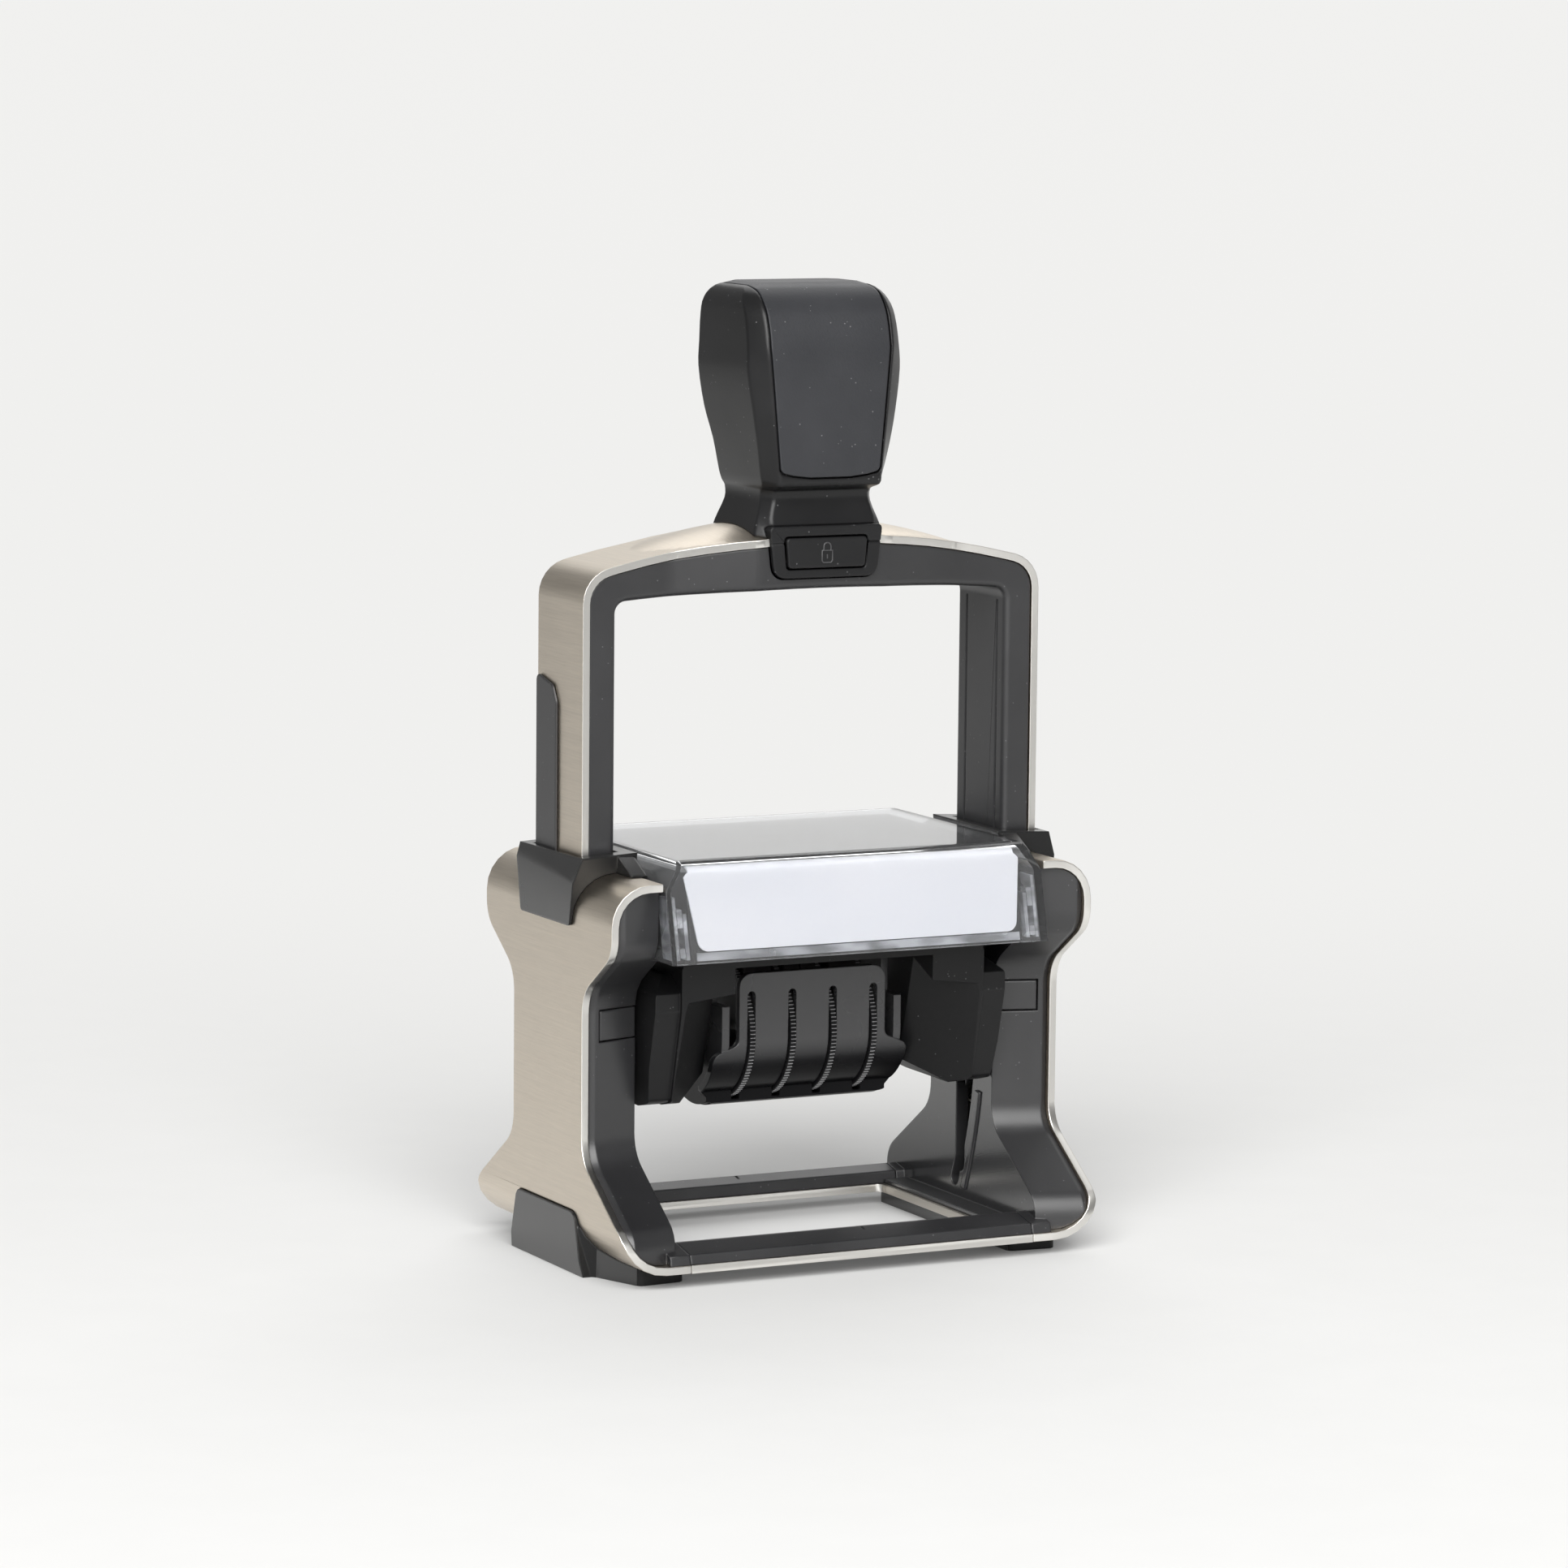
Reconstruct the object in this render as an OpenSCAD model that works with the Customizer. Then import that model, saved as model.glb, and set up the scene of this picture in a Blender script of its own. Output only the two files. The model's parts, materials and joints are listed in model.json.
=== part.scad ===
// Self-inking date stamp with a steel frame, a bail handle and a flip-over printing carriage.
// X runs to the right, Y to the rear and Z up, in millimetres. The feet stand on z = 0.

/* [Printing carriage] */
// Length of the text plate
plate_l = 59; // [54:0.5:64]
// Depth of the text plate
plate_d = 38; // [34:0.5:39]
// Thickness of the text plate
plate_t = 1.5; // [1:0.1:2]
// How far the rubber die stands in from the edge of the text plate
die_inset = 0.5; // [0.2:0.1:2]
// Thickness of the rubber die
die_t = 2.3; // [1.5:0.1:3]
// Height of the die face above the carriage axle
die_h = 12; // [11:0.25:13]
// Stroke of the bail from rest to printing
travel = 37.5; // [34:0.5:42]
// Radius of the carriage axle pins
axle_r = 1.5; // [1.2:0.05:1.8]
// Radius of the cam pins that turn the carriage over
cam_pin_r = 1.05; // [0.8:0.05:1.2]
// Distance of a cam pin from the carriage axle
cam_arm = 4; // [3.6:0.1:4.4]
// Angle of a cam pin behind the upright at rest
cam_lead = 30; // [20:1:40]

/* [Date wheels] */
// Number of date wheels on each side of the middle
wheels_a_side = 2; // [1:1:2]
// Distance between neighbouring date wheels
wheel_pitch = 8.3; // [8:0.1:8.8]
// Outer radius of the knurled date wheels
wheel_r = 12.7; // [12.4:0.05:13]
// Width of a knurled wheel rim
wheel_rim_t = 1; // [0.8:0.05:1.2]
// Number of ridges on a knurled wheel
knurls = 112; // [96:4:128]
// Depth of the knurling
knurl_d = 0.4; // [0.2:0.05:0.6]
// Radius of the wheel axle
wheel_axle_r = 1.5; // [1.2:0.05:1.8]
// Thickness of a rubber date band
date_band_t = 0.8; // [0.6:0.05:0.9]
// Wall of the date band housing
housing_t = 1.5; // [1.2:0.1:1.6]
// Half width of the front plate of the date band housing
housing_front_w = 14.9; // [14:0.1:16]

/* [Lower frame] */
// Room between the text plate and the inner wall of a side frame
side_room = 7.1; // [6.5:0.1:8]
// Thickness of the inner wall of a side frame
wall_t = 2.6; // [2.2:0.1:3]
// Thickness of the front and rear cheeks beside a leg pocket
cheek_t = 4.95; // [4:0.05:6]
// Thickness of the steel sheet of the frame
sheet_t = 1.5; // [1:0.1:1.8]
// Gap between the table and the base plate
base_lift = 2.8; // [2:0.1:4]
// Margin round the text plate in the base window, along its length
window_margin_x = 1.7; // [1.4:0.1:2]
// Margin round the text plate in the base window, along its depth
window_margin_y = 2.4; // [2.2:0.1:3]
// Depth of a base rail, from the window to the front of the foot
rail_w = 11; // [9:0.1:12]
// Height of the ridge of a base rail above the base plate
rail_h = 3; // [2:0.1:3.2]
// Outside bend radius of the steel at the foot
foot_bend_r = 9; // [7:0.25:10]
// Outside bend radius of the steel at the shoulder
shoulder_bend_r = 7.5; // [6:0.25:8]
// Depth of the frame at its shoulders
shoulder_d = 54.8; // [52:0.2:57]
// Height of the shoulders above the seat of the index cover
shoulder_rise = 14.3; // [13:0.1:15]
// Height of the outer face of a foot block
foot_h = 11.5; // [9:0.25:13]

/* [Collars] */
// How far a collar stands out from the steel
collar_proud = 0.64; // [0.5:0.02:1]
// How far the skirt of a collar hangs below the shoulder
skirt_drop = 9.2; // [8:0.1:10]
// How far a collar stands above the shoulder
collar_rise = 3; // [2:0.1:3.5]

/* [Index cover and ink] */
// Height of the index cover above its seat
cover_h = 17.9; // [17:0.1:20]
// Depth of the index cover at its seat
cover_d = 61; // [58:0.2:63]
// Depth of the flat top of the index cover
cover_top_d = 52.4; // [50:0.2:55]
// Wall of the clear index cover
cover_t = 1.2; // [0.8:0.1:1.5]
// Rounding of the long creases of the index cover
crease_r = 3; // [2:0.1:4]
// Thickness of the index card
card_t = 0.35; // [0.2:0.05:0.5]
// Thickness of the ink pad
pad_t = 3.4; // [2.5:0.1:4]

/* [Bail] */
// Width of a leg across the frame
leg_w = 6.8; // [6:0.1:8]
// Depth of a leg
leg_d = 19.34; // [18:0.02:21]
// Thickness of the steel band over the bail
bail_sheet_t = 1.4; // [1:0.1:1.6]
// Depth of the beam at the handle
beam_d = 27; // [25:0.2:28]
// Height of the beam in its middle, above the top of the legs
beam_h = 11.3; // [10:0.1:13]
// Rise of the arched top of the beam
arch_rise = 6.3; // [5:0.1:7]
// Rise of the arched underside of the beam
under_rise = 1.6; // [1:0.1:2.4]
// Room left between the beam and the index cover at the end of the stroke
beam_gap = 7.3; // [5:0.1:12]
// How far the steel is crowned over the middle of the beam
crown_h = 2.2; // [1:0.1:2.4]
// Outer corner radius of the bail
bail_corner_r = 6.5; // [5:0.25:8]
// How far a guide rail stands out from the leg
rail_proud = 0.55; // [0.4:0.05:0.7]
// Length of a guide rail above the shoulder
rail_rise = 34.5; // [30:0.5:40]

/* [Handle and lock] */
// Half width of the inlay of the handle at its widest
inlay_w = 12.2; // [11:0.1:12.5]
// Depth of the recess that holds the inlay
inlay_t = 1.3; // [1:0.1:1.6]
// Width of the lock bezel
bezel_w = 22.8; // [21:0.2:25]
// Height of the lock bezel
bezel_h = 9.4; // [9:0.1:9.8]
// Width of the lock button
button_w = 16.4; // [14:0.2:17]
// Height of the lock button
button_h = 5.5; // [5:0.1:5.8]
// Stroke of the lock button
button_travel = 1.5; // [1:0.1:1.8]

/* [Return springs] */
// Turns of a return spring
spring_turns = 20; // [14:1:24]
// Wire diameter of a return spring
spring_wire = 0.6; // [0.5:0.05:0.7]
// Mean radius of a return spring
spring_r = 1.45; // [1.3:0.05:1.5]

/* [Hidden] */
$fn = 64;

// Clearances: faces that only meet, sliding faces, running pins and loose room
seat_gap = 0.05;
slide_gap = 0.28;
pin_gap = 0.05;
free_gap = 0.6;
past = 1;

// Segments in a rounded corner
arc_n = 6;

// Places across the frame, from the text plate outwards
plate_hx = plate_l / 2;
plate_hy = plate_d / 2;
wall_in = plate_hx + side_room;
wall_out = wall_in + wall_t;
leg_in = wall_out + slide_gap;
leg_out = leg_in + leg_w;
leg_hy = leg_d / 2;
side_out = leg_out + rail_proud + 0.2;
frame_hx = side_out + sheet_t;
seam_x = wall_in - 1.9;
pocket_hy = leg_hy + slide_gap;

// Places along the depth of the frame
waist_hy = pocket_hy + cheek_t;
window_hx = plate_hx + window_margin_x;
window_hy = plate_hy + window_margin_y;
foot_hy = window_hy + rail_w;
shoulder_hy = shoulder_d / 2;

// Heights
base_top = base_lift + sheet_t;
axle_z = travel + die_h;
seat_z = axle_z + die_h - 3.3;
shoulder_z = seat_z + shoulder_rise;
cover_z = seat_z + cover_h;
leg_z = axle_z - 4;
pocket_z = base_top + 1.2;
beam_z = cover_z + travel + beam_gap;
beam_top = beam_z + beam_h;

// The rear corner of the die rises a little while the carriage starts to turn
die_hx = plate_hx - die_inset;
die_hy = plate_hy - die_inset;
die_rise = max([for (a = [0:2:90]) die_hy * sin(a) + die_h * cos(a) - travel * a / 180]) - die_h;
pad_z = axle_z + die_h + die_rise + free_gap;
tray_z = pad_z - 1.2;
tray_top = pad_z + pad_t + 3.3;
tray_hx = plate_hx + 2.3;
housing_hx = tray_hx + 1.6;
tray_front = plate_hy + 4.5;

// Index cover: slope of its front and rear faces
cover_hx = wall_in + 1.3;
cover_top_hx = cover_hx - 3.1;
cover_slope = (cover_d - cover_top_d) / 2 / cover_h;
cover_lean = sqrt(1 + cover_slope * cover_slope);
cover_end_z = seat_z + 12.8;

// Bail arches
arch_r = (leg_out * leg_out + arch_rise * arch_rise) / (2 * arch_rise);
under_r = (leg_in * leg_in + under_rise * under_rise) / (2 * under_rise);
beam_hy = beam_d / 2;

// Crown of the steel over the beam: where it fades out, its radius along the beam and across it
crown_x = 32;
crown_drop = crown_h + arch_r - sqrt(arch_r * arch_r - crown_x * crown_x);
crown_r = (crown_x * crown_x + crown_drop * crown_drop) / (2 * crown_drop);
crown_across = (beam_hy * beam_hy + crown_h * crown_h) / (2 * crown_h);

// Collars and feet
collar_out = frame_hx + collar_proud;
collar_top = shoulder_z + collar_rise;
collar_in = cover_hx + 0.3;
skirt_z = shoulder_z - skirt_drop;
foot_out = frame_hx + 0.35;

// Date wheels and bands, placed from the carriage axle
wheel_y = 1.5;
wheel_z = axle_z - 9;
shell_r = wheel_r - 0.7;
lip_t = 0.9;
rear_shell_r = wheel_r + 0.3 + lip_t;
drum_r = shell_r - housing_t - date_band_t - 0.5;
band_in_r = drum_r + 0.3;
nose_r = 1.2;
nose_z = axle_z + die_h - date_band_t - nose_r - seat_gap;
cheek_x = housing_front_w + 1.9;
outer_band_w = 5.6;

// Handle stations: height over the beam, half width, front bevel, front, rear bevel, rear
handle_stations = [
    [-1.2, 13.4, 11.0, 13.4, 7.0, 10.0],
    [1.8, 12.6, 10.4, 12.6, 6.4, 9.4],
    [5.8, 11.2, 9.4, 11.8, 5.2, 8.2],
    [8.1, 11.2, 9.6, 12.2, 5.2, 8.2],
    [9.1, 11.8, 11.5, 15.0, 5.2, 8.3],
    [10.8, 12.3, 11.9, 15.5, 5.4, 8.6],
    [16.6, 13.4, 12.8, 15.5, 5.8, 9.0],
    [22.5, 14.4, 13.0, 15.5, 7.6, 10.7],
    [29.8, 15.4, 12.6, 15.4, 8.1, 11.2],
    [34.3, 15.3, 12.2, 15.2, 8.0, 11.1],
    [39.5, 15.1, 10.8, 13.8, 7.9, 10.9],
    [42.3, 14.7, 8.8, 11.8, 7.3, 10.2],
    [44.4, 13.2, 6.5, 9.0, 5.8, 8.6],
    [45.4, 10.8, 4.0, 6.0, 3.6, 5.6]
];
inlay_low_w = 9.9;
inlay_low_h = 11;
inlay_wide_h = 34;
inlay_groove = 0.35;

// Lock
bezel_y = -beam_hy - 0.6;
bezel_z = beam_top - 7.6;
button_z = bezel_z + 1.8;

// Return springs
spring_x = (leg_in + leg_out - bail_sheet_t) / 2;
spring_y = 5;
spring_top = beam_z - 15;

// Colours
steel = [0.74, 0.71, 0.67];
black = [0.07, 0.07, 0.075];
charcoal = [0.16, 0.16, 0.17];
rubber_red = [0.45, 0.16, 0.12];
clear = [0.85, 0.88, 0.92, 0.35];
paper = [0.95, 0.95, 0.97];

function unit(v) = v / norm(v);
function flat(p) = [p.x, p.y];

// Arc that rounds corner p by radius r between its neighbours a and b
function corner(a, p, b, r, n) =
    r <= 0 ? [p] :
    let (
        u = unit(a - p),
        v = unit(b - p),
        half = acos(u * v) / 2,
        centre = p + unit(u + v) * r / sin(half),
        first = p + u * r / tan(half) - centre,
        last = p + v * r / tan(half) - centre,
        start = atan2(first.y, first.x),
        turn = (atan2(last.y, last.x) - start + 540) % 360 - 180
    )
    [for (i = [0:n]) centre + r * [cos(start + turn * i / n), sin(start + turn * i / n)]];

// Closed outline from corners given as [x, y, radius]
function rounded(c, n = arc_n) =
    let (k = len(c))
    [for (i = [0:k - 1])
        each corner(flat(c[(i + k - 1) % k]), flat(c[i]), flat(c[(i + 1) % k]), c[i].z, n)];

// Corners of an outline that is the same on both sides of its upright axis
function both_sides(c) =
    concat(c, [for (i = [len(c) - 1:-1:0]) [-c[i].x, c[i].y, c[i].z]]);

// Prism of a front-view outline, from y0 back to y1
module along_y(y0, y1) {
    translate([0, y1, 0]) rotate([90, 0, 0]) linear_extrude(y1 - y0) children();
}

// Prism of a side-view outline, from x0 right to x1
module along_x(x0, x1) {
    translate([x0, 0, 0]) rotate([90, 0, 90]) linear_extrude(x1 - x0) children();
}

// Prism of a plan outline, from z0 up to z1
module along_z(z0, z1) {
    translate([0, 0, z0]) linear_extrude(z1 - z0) children();
}

// Box between two corners
module block(low, high) {
    translate(low) cube(high - low);
}

// Round bar along X
module bar_x(x0, x1, y, z, r) {
    translate([x0, y, z]) rotate([0, 90, 0]) cylinder(h = x1 - x0, r = r);
}

// A right-hand piece, or its mirror image on the left
module on_side(side) {
    if (side < 0) mirror([1, 0, 0]) children();
    else children();
}

// Solid through a row of outlines that all have the same number of points
module skin(rings) {
    n = len(rings[0]);
    m = len(rings);
    walls = [for (k = [0:m - 2], i = [0:n - 1])
        each [
            [k * n + i, (k + 1) * n + i, k * n + (i + 1) % n],
            [k * n + (i + 1) % n, (k + 1) * n + i, (k + 1) * n + (i + 1) % n]
        ]];
    // Each end is closed by a zigzag of triangles between its first and its last points
    cap = [for (i = [0:n / 2 - 2]) each [[i, i + 1, n - 1 - i], [i + 1, n - 2 - i, n - 1 - i]]];
    end = [for (t = cap) [for (k = [2:-1:0]) (m - 1) * n + t[k]]];
    polyhedron(points = [for (r = rings) each r], faces = concat(cap, end, walls));
}

// Lower frame

// Dog-bone side view: foot, waist and shoulder half depths and the heights where they change
function dog_bone(foot_y, foot_z, waist_y, low_z, high_z, head_y, head_z, z0, z1) =
    both_sides([
        [foot_y, z0, 0],
        [foot_y, foot_z, 0.9 * min(6, foot_z - z0)],
        [waist_y, low_z, 7],
        [waist_y, high_z, 7],
        [head_y, head_z, 6],
        [head_y, z1, 0]
    ]);

flare_low = base_lift + 6.8;
flare_high = base_lift + 18.7;
bulge_low = seat_z - 6.7;
bulge_high = seat_z + 1.8;

function band_side(inset = 0) =
    dog_bone(foot_hy - inset, flare_low, waist_hy - inset, flare_high, bulge_low,
        shoulder_hy - inset, bulge_high, base_lift - past, shoulder_z + past);

// Front view of the space inside a steel band that stands t inside its outer face
function band_inside(t) = rounded([
    [seam_x - 8, base_lift + t, 0],
    [frame_hx - t, base_lift + t, foot_bend_r - t],
    [frame_hx - t, shoulder_z - t, shoulder_bend_r - t],
    [seam_x - 8, shoulder_z - t, 0]
]);

module steel_band(side) {
    color(steel) on_side(side) difference() {
        intersection() {
            along_y(-foot_hy, foot_hy) difference() {
                polygon(band_inside(0));
                polygon(band_inside(sheet_t));
                translate([seam_x - 10, 0]) square([10, shoulder_z / 2]);
                translate([seam_x - 10, shoulder_z / 2]) square([10 + collar_in + 0.2 - seam_x, shoulder_z]);
            }
            along_x(seam_x - past, frame_hx + past) polygon(rounded(band_side()));
        }
        block([wall_out, -pocket_hy, skirt_z + 1.2], [frame_hx + past, pocket_hy, shoulder_z + past]);
        along_x(frame_hx - foot_bend_r, frame_hx + past) polygon(foot_face(0.12));
    }
}

// Outer face of a foot block
function foot_face(gap) = rounded(both_sides([
    [16 + gap, -past, 0],
    [12.6 + gap, foot_h + gap, 2]
]));

module foot(side) {
    color(charcoal) on_side(side) difference() {
        union() {
            intersection() {
                along_x(frame_hx - foot_bend_r + 0.1, foot_out) polygon(foot_face(0));
                along_y(-foot_hy, foot_hy) polygon(rounded([
                    [seam_x, 0, 0],
                    [foot_out - 0.5, 0, 0],
                    [foot_out, 3, 0],
                    [foot_out, foot_h + past, 0],
                    [seam_x, foot_h + past, 0]
                ]));
            }
            difference() {
                along_z(0, foot_bend_r) polygon(rounded([
                    [foot_out - 0.5, 13.5, 0],
                    [frame_hx - 2.5, 16.5, 1],
                    [frame_hx - 6.3, foot_hy - 5.7, 1.5],
                    [seam_x - 1.7, foot_hy - 6.4, 1.5],
                    [seam_x - 1.7, 6.4 - foot_hy, 1.5],
                    [frame_hx - 6.3, 5.7 - foot_hy, 1.5],
                    [frame_hx - 2.5, -16.5, 1],
                    [foot_out - 0.5, -13.5, 0]
                ]));
                along_y(-foot_hy - past, foot_hy + past) polygon(band_inside(0));
            }
        }
        along_y(-foot_hy, foot_hy) polygon(band_inside(sheet_t - seat_gap));
    }
}

module base_plate() {
    color(steel) difference() {
        block([-seam_x + seat_gap, -foot_hy, base_lift], [seam_x - seat_gap, foot_hy, base_top]);
        along_z(0, base_top + past) polygon(rounded(both_sides([
            [window_hx, -window_hy, 1.5],
            [window_hx, window_hy, 1.5]
        ])));
        each_base_screw() cylinder(h = base_top + past, r = screw_r + 0.1);
        each_base_screw() translate([0, 0, base_lift - past]) cylinder(h = past + 0.9, r = screw_head_r + 0.1);
    }
}

screw_r = 1.2;
screw_head_r = 2.2;
screw_x = seam_x - 9;
screw_y = window_hy + rail_w / 2;

module each_base_screw() {
    for (x = [-screw_x, screw_x], y = [-screw_y, screw_y]) translate([x, y, 0]) children();
}

module base_screws() {
    color(steel) each_base_screw() difference() {
        union() {
            translate([0, 0, base_lift + 0.1]) cylinder(h = 0.8, r = screw_head_r);
            translate([0, 0, base_lift + 0.1]) cylinder(h = rail_h + 0.2, r = screw_r);
        }
        translate([0, 0, base_lift - past]) cylinder(h = past + 0.6, r = 1, $fn = 6);
    }
}

// Side view of a base rail: inner edge, ridge and outer edge
function rail_side(s) = rounded([
    [s * (window_hy + 0.5), base_top, 0],
    [s * (window_hy + 0.9), base_top + 0.75 * rail_h, 0.4],
    [s * (window_hy + 4.6), base_top + rail_h, 1],
    [s * (foot_hy - 0.8), base_top + 0.58 * rail_h, 0.4],
    [s * (foot_hy - 0.3), base_top, 0]
]);

module base_rail(s) {
    color(black) difference() {
        along_x(-seam_x + seat_gap, seam_x - seat_gap) polygon(rail_side(s));
        each_base_screw() cylinder(h = base_lift + rail_h + 0.4, r = screw_r + 0.05);
        translate([2.4, s * (window_hy + 4.6), base_top + rail_h]) cube([0.35, 12, 0.8], center = true);
    }
}

// Path of a cam pin while the carriage turns from 0 to 180 degrees, as [y, z]
function cam_path(a) = [
    -cam_arm * sin(a + cam_lead),
    axle_z - travel * a / 180 + cam_arm * cos(a + cam_lead)
];
function cam_normal(a) =
    let (d = unit(cam_path(a + 0.5) - cam_path(a - 0.5)))
    [-d.y, d.x];

// Outline of the strip that lies between two offsets from the cam path
function cam_strip(a0, a1, near, far) = concat(
    [for (a = [a0:6:a1]) cam_path(a) + near * cam_normal(a)],
    [for (a = [a1:-6:a0]) cam_path(a) + far * cam_normal(a)]
);

cam_slot_r = cam_pin_r + 0.3;
axle_slot_r = axle_r + 0.3;

// Half circle round the cam path at angle a, from one side of the path to the other
function cam_end(a, r, from) =
    let (
        d = cam_path(a + 0.5) - cam_path(a - 0.5),
        start = atan2(d.y, d.x) + from
    )
    [for (k = [1:7]) cam_path(a) + r * [cos(start + 22.5 * k), sin(start + 22.5 * k)]];

function cam_slot(r) = concat(
    [for (a = [0:6:180]) cam_path(a) - r * cam_normal(a)],
    cam_end(180, r, -90),
    [for (a = [180:-6:0]) cam_path(a) + r * cam_normal(a)],
    cam_end(0, r, 90)
);

module cam_slots() {
    along_x(wall_in - past, wall_out + past) {
        polygon(cam_slot(cam_slot_r));
        polygon(rounded(both_sides([
            [axle_slot_r, axle_z - travel - axle_slot_r, 0.98 * axle_slot_r],
            [axle_slot_r, axle_z + axle_slot_r, 0.98 * axle_slot_r]
        ])));
    }
}

// Tabs that snap into the front and rear cheeks of a side frame
tab_z = axle_z - 6.9;
tab_h = 5.5;
tab_x = side_out - 2.1;
tab_t = 1.2;

// Side view of the inner edge of a side frame, and the slope of its front face
inner_waist = waist_hy - 2.9;
face_slope = atan2(2.6, side_out - 1.4 - wall_in);

module tab_space(s, gap) {
    translate([wall_in, s * inner_waist, tab_z - gap]) rotate([0, 0, s * face_slope])
        translate([-past, s > 0 ? -tab_t - gap : -past, 0])
            cube([tab_x - wall_in + past + gap, tab_t + gap + past, tab_h + 2 * gap]);
}

// Cutters that slant the front and rear faces of a side frame about the upright line at x0
module flank_cut(x0, angle) {
    outline = [for (p = rounded(band_side(0.3))) if (p.x > 0) [(p.x - waist_hy) * cos(angle), p.y]];
    for (s = [0, 1]) mirror([0, s, 0]) translate([x0, waist_hy, 0]) rotate([0, 0, angle])
        along_x(-20, 20)
            polygon(concat(outline, [[foot_hy, shoulder_z + past], [foot_hy, base_lift - past]]));
}

module side_frame_body() {
    difference() {
        along_x(wall_in, side_out - seat_gap) polygon(rounded(band_side(0.3)));
        flank_cut(side_out - 1.6, face_slope);
        flank_cut(side_out - 1.3, -30);
    }
}

module side_frame(side) {
    color(black) on_side(side) difference() {
        union() {
            intersection() {
                side_frame_body();
                along_y(-foot_hy, foot_hy) polygon(band_inside(sheet_t + seat_gap));
            }
            for (s = [-1, 1])
                along_x(seam_x + seat_gap, wall_in + 2) polygon(rail_side(s));
            block([window_hx + 0.8, -window_hy, base_top], [wall_in + 0.5, window_hy, base_top + 0.9]);
            along_x(wall_in - 0.45, wall_in + 0.5) polygon(cam_strip(96, 180, -4.6, -3.2));
        }
        block([wall_out, -pocket_hy, pocket_z], [side_out + past, pocket_hy, shoulder_z + past]);
        block([seam_x, -foot_hy, seat_z], [collar_in, foot_hy, shoulder_z + past]);
        cam_slots();
        for (s = [-1, 1]) tab_space(s, 0.22);
    }
}

module side_tabs() {
    color(black) for (side = [-1, 1]) on_side(side) intersection() {
        union() {
            for (s = [-1, 1]) tab_space(s, 0);
        }
        side_frame_body();
        block([wall_in, -foot_hy, 0], [side_out, foot_hy, shoulder_z]);
    }
}

// Front view of a collar: the skirt outside the leg and the wing that reaches in to the index cover
function collar_front() = [
    [collar_in, skirt_z],
    [collar_out, skirt_z],
    [collar_out, collar_top],
    [collar_in - 1.4, collar_top + 0.7],
    [collar_in - 1.4, shoulder_z + 1.4],
    [collar_in, shoulder_z - 1]
];

module collar(side) {
    color(charcoal) on_side(side) difference() {
        union() {
            difference() {
                intersection() {
                    along_y(-shoulder_hy, shoulder_hy) polygon(collar_front());
                    along_x(collar_in - 2, collar_out + past) polygon(rounded(both_sides([
                        [pocket_hy + 0.65, skirt_z, 0.8],
                        [pocket_hy + 3.05, collar_top + past, 0]
                    ])));
                }
                along_y(-shoulder_hy, shoulder_hy) polygon(band_inside(-seat_gap));
                translate([collar_out, 0, collar_top - 3.45]) rotate([4.7, 0, 0]) rotate([0, -20, 0])
                    translate([0, -shoulder_hy, 0]) cube([5, 2 * shoulder_hy, 9]);
            }
            for (s = [-1, 1]) along_x(collar_in - 0.7, collar_in + 2.4) polygon([
                [s * (pocket_hy + 2.6), collar_top + 0.4],
                [s * (pocket_hy + 8.6), shoulder_z + 0.35],
                [s * (pocket_hy + 8.6), shoulder_z + seat_gap],
                [s * (pocket_hy + 2.6), shoulder_z + seat_gap]
            ]);
            block([side_out + seat_gap, -pocket_hy + 0.2, skirt_z + 1.4],
                [frame_hx + 0.2, pocket_hy - 0.2, shoulder_z]);
        }
        block([wall_out, -pocket_hy, skirt_z - past], [side_out + seat_gap, pocket_hy, collar_top + past]);
    }
}

// Centre line of a return spring
function coil(t, side) = [
    side * spring_x + spring_r * cos(360 * spring_turns * t),
    spring_y + spring_r * sin(360 * spring_turns * t),
    pocket_z + spring_wire / 2 + 0.1 + (spring_top - pocket_z - spring_wire - 0.2) * t
];
coil_steps = 8 * spring_turns;
coil_gap = min([for (i = [0:7], j = [6:16])
    norm(coil(i / coil_steps, 1) - coil((i + j) / coil_steps, 1))]) - spring_wire;
echo(least_gap_between_spring_turns = coil_gap);

module return_spring(side) {
    color(steel) skin([for (i = [0:coil_steps])
        let (
            a = 360 * spring_turns * i / coil_steps,
            out = [cos(a), sin(a), 0]
        )
        [for (k = [5:-1:0])
            coil(i / coil_steps, side) + spring_wire / 2 * (cos(60 * k) * out + [0, 0, sin(60 * k)])]
    ]);
}

// Index cover, pad housing and ink cartridge

// Side view of the cover, t inside its outer face
function cover_side(t, z0) = rounded(both_sides([
    [cover_top_d / 2 + cover_slope * (cover_z - z0) - cover_lean * t, z0, 0],
    [cover_top_d / 2 + cover_slope * t - cover_lean * t, cover_z - t, max(0.5, crease_r - t)]
]));

// Front view of the cover, t inside its outer face
function cover_front(t, z0) = rounded(both_sides([
    [cover_hx - t, z0, 0],
    [cover_hx - t, cover_end_z, 1.5],
    [cover_top_hx - 0.8 * t, cover_z - t, 1]
]));

module cover_solid(side_t, end_t, z0) {
    intersection() {
        along_x(-cover_hx, cover_hx) polygon(cover_side(side_t, z0));
        along_y(-cover_d, cover_d) polygon(cover_front(end_t, z0));
    }
}

module index_cover() {
    color(clear) difference() {
        cover_solid(0, 0, seat_z);
        cover_solid(cover_t, cover_t, seat_z - past);
        block([-tray_hx - 0.5, 0, tray_z - 0.5], [tray_hx + 0.5, cover_d, tray_top + 0.5]);
    }
}

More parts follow.
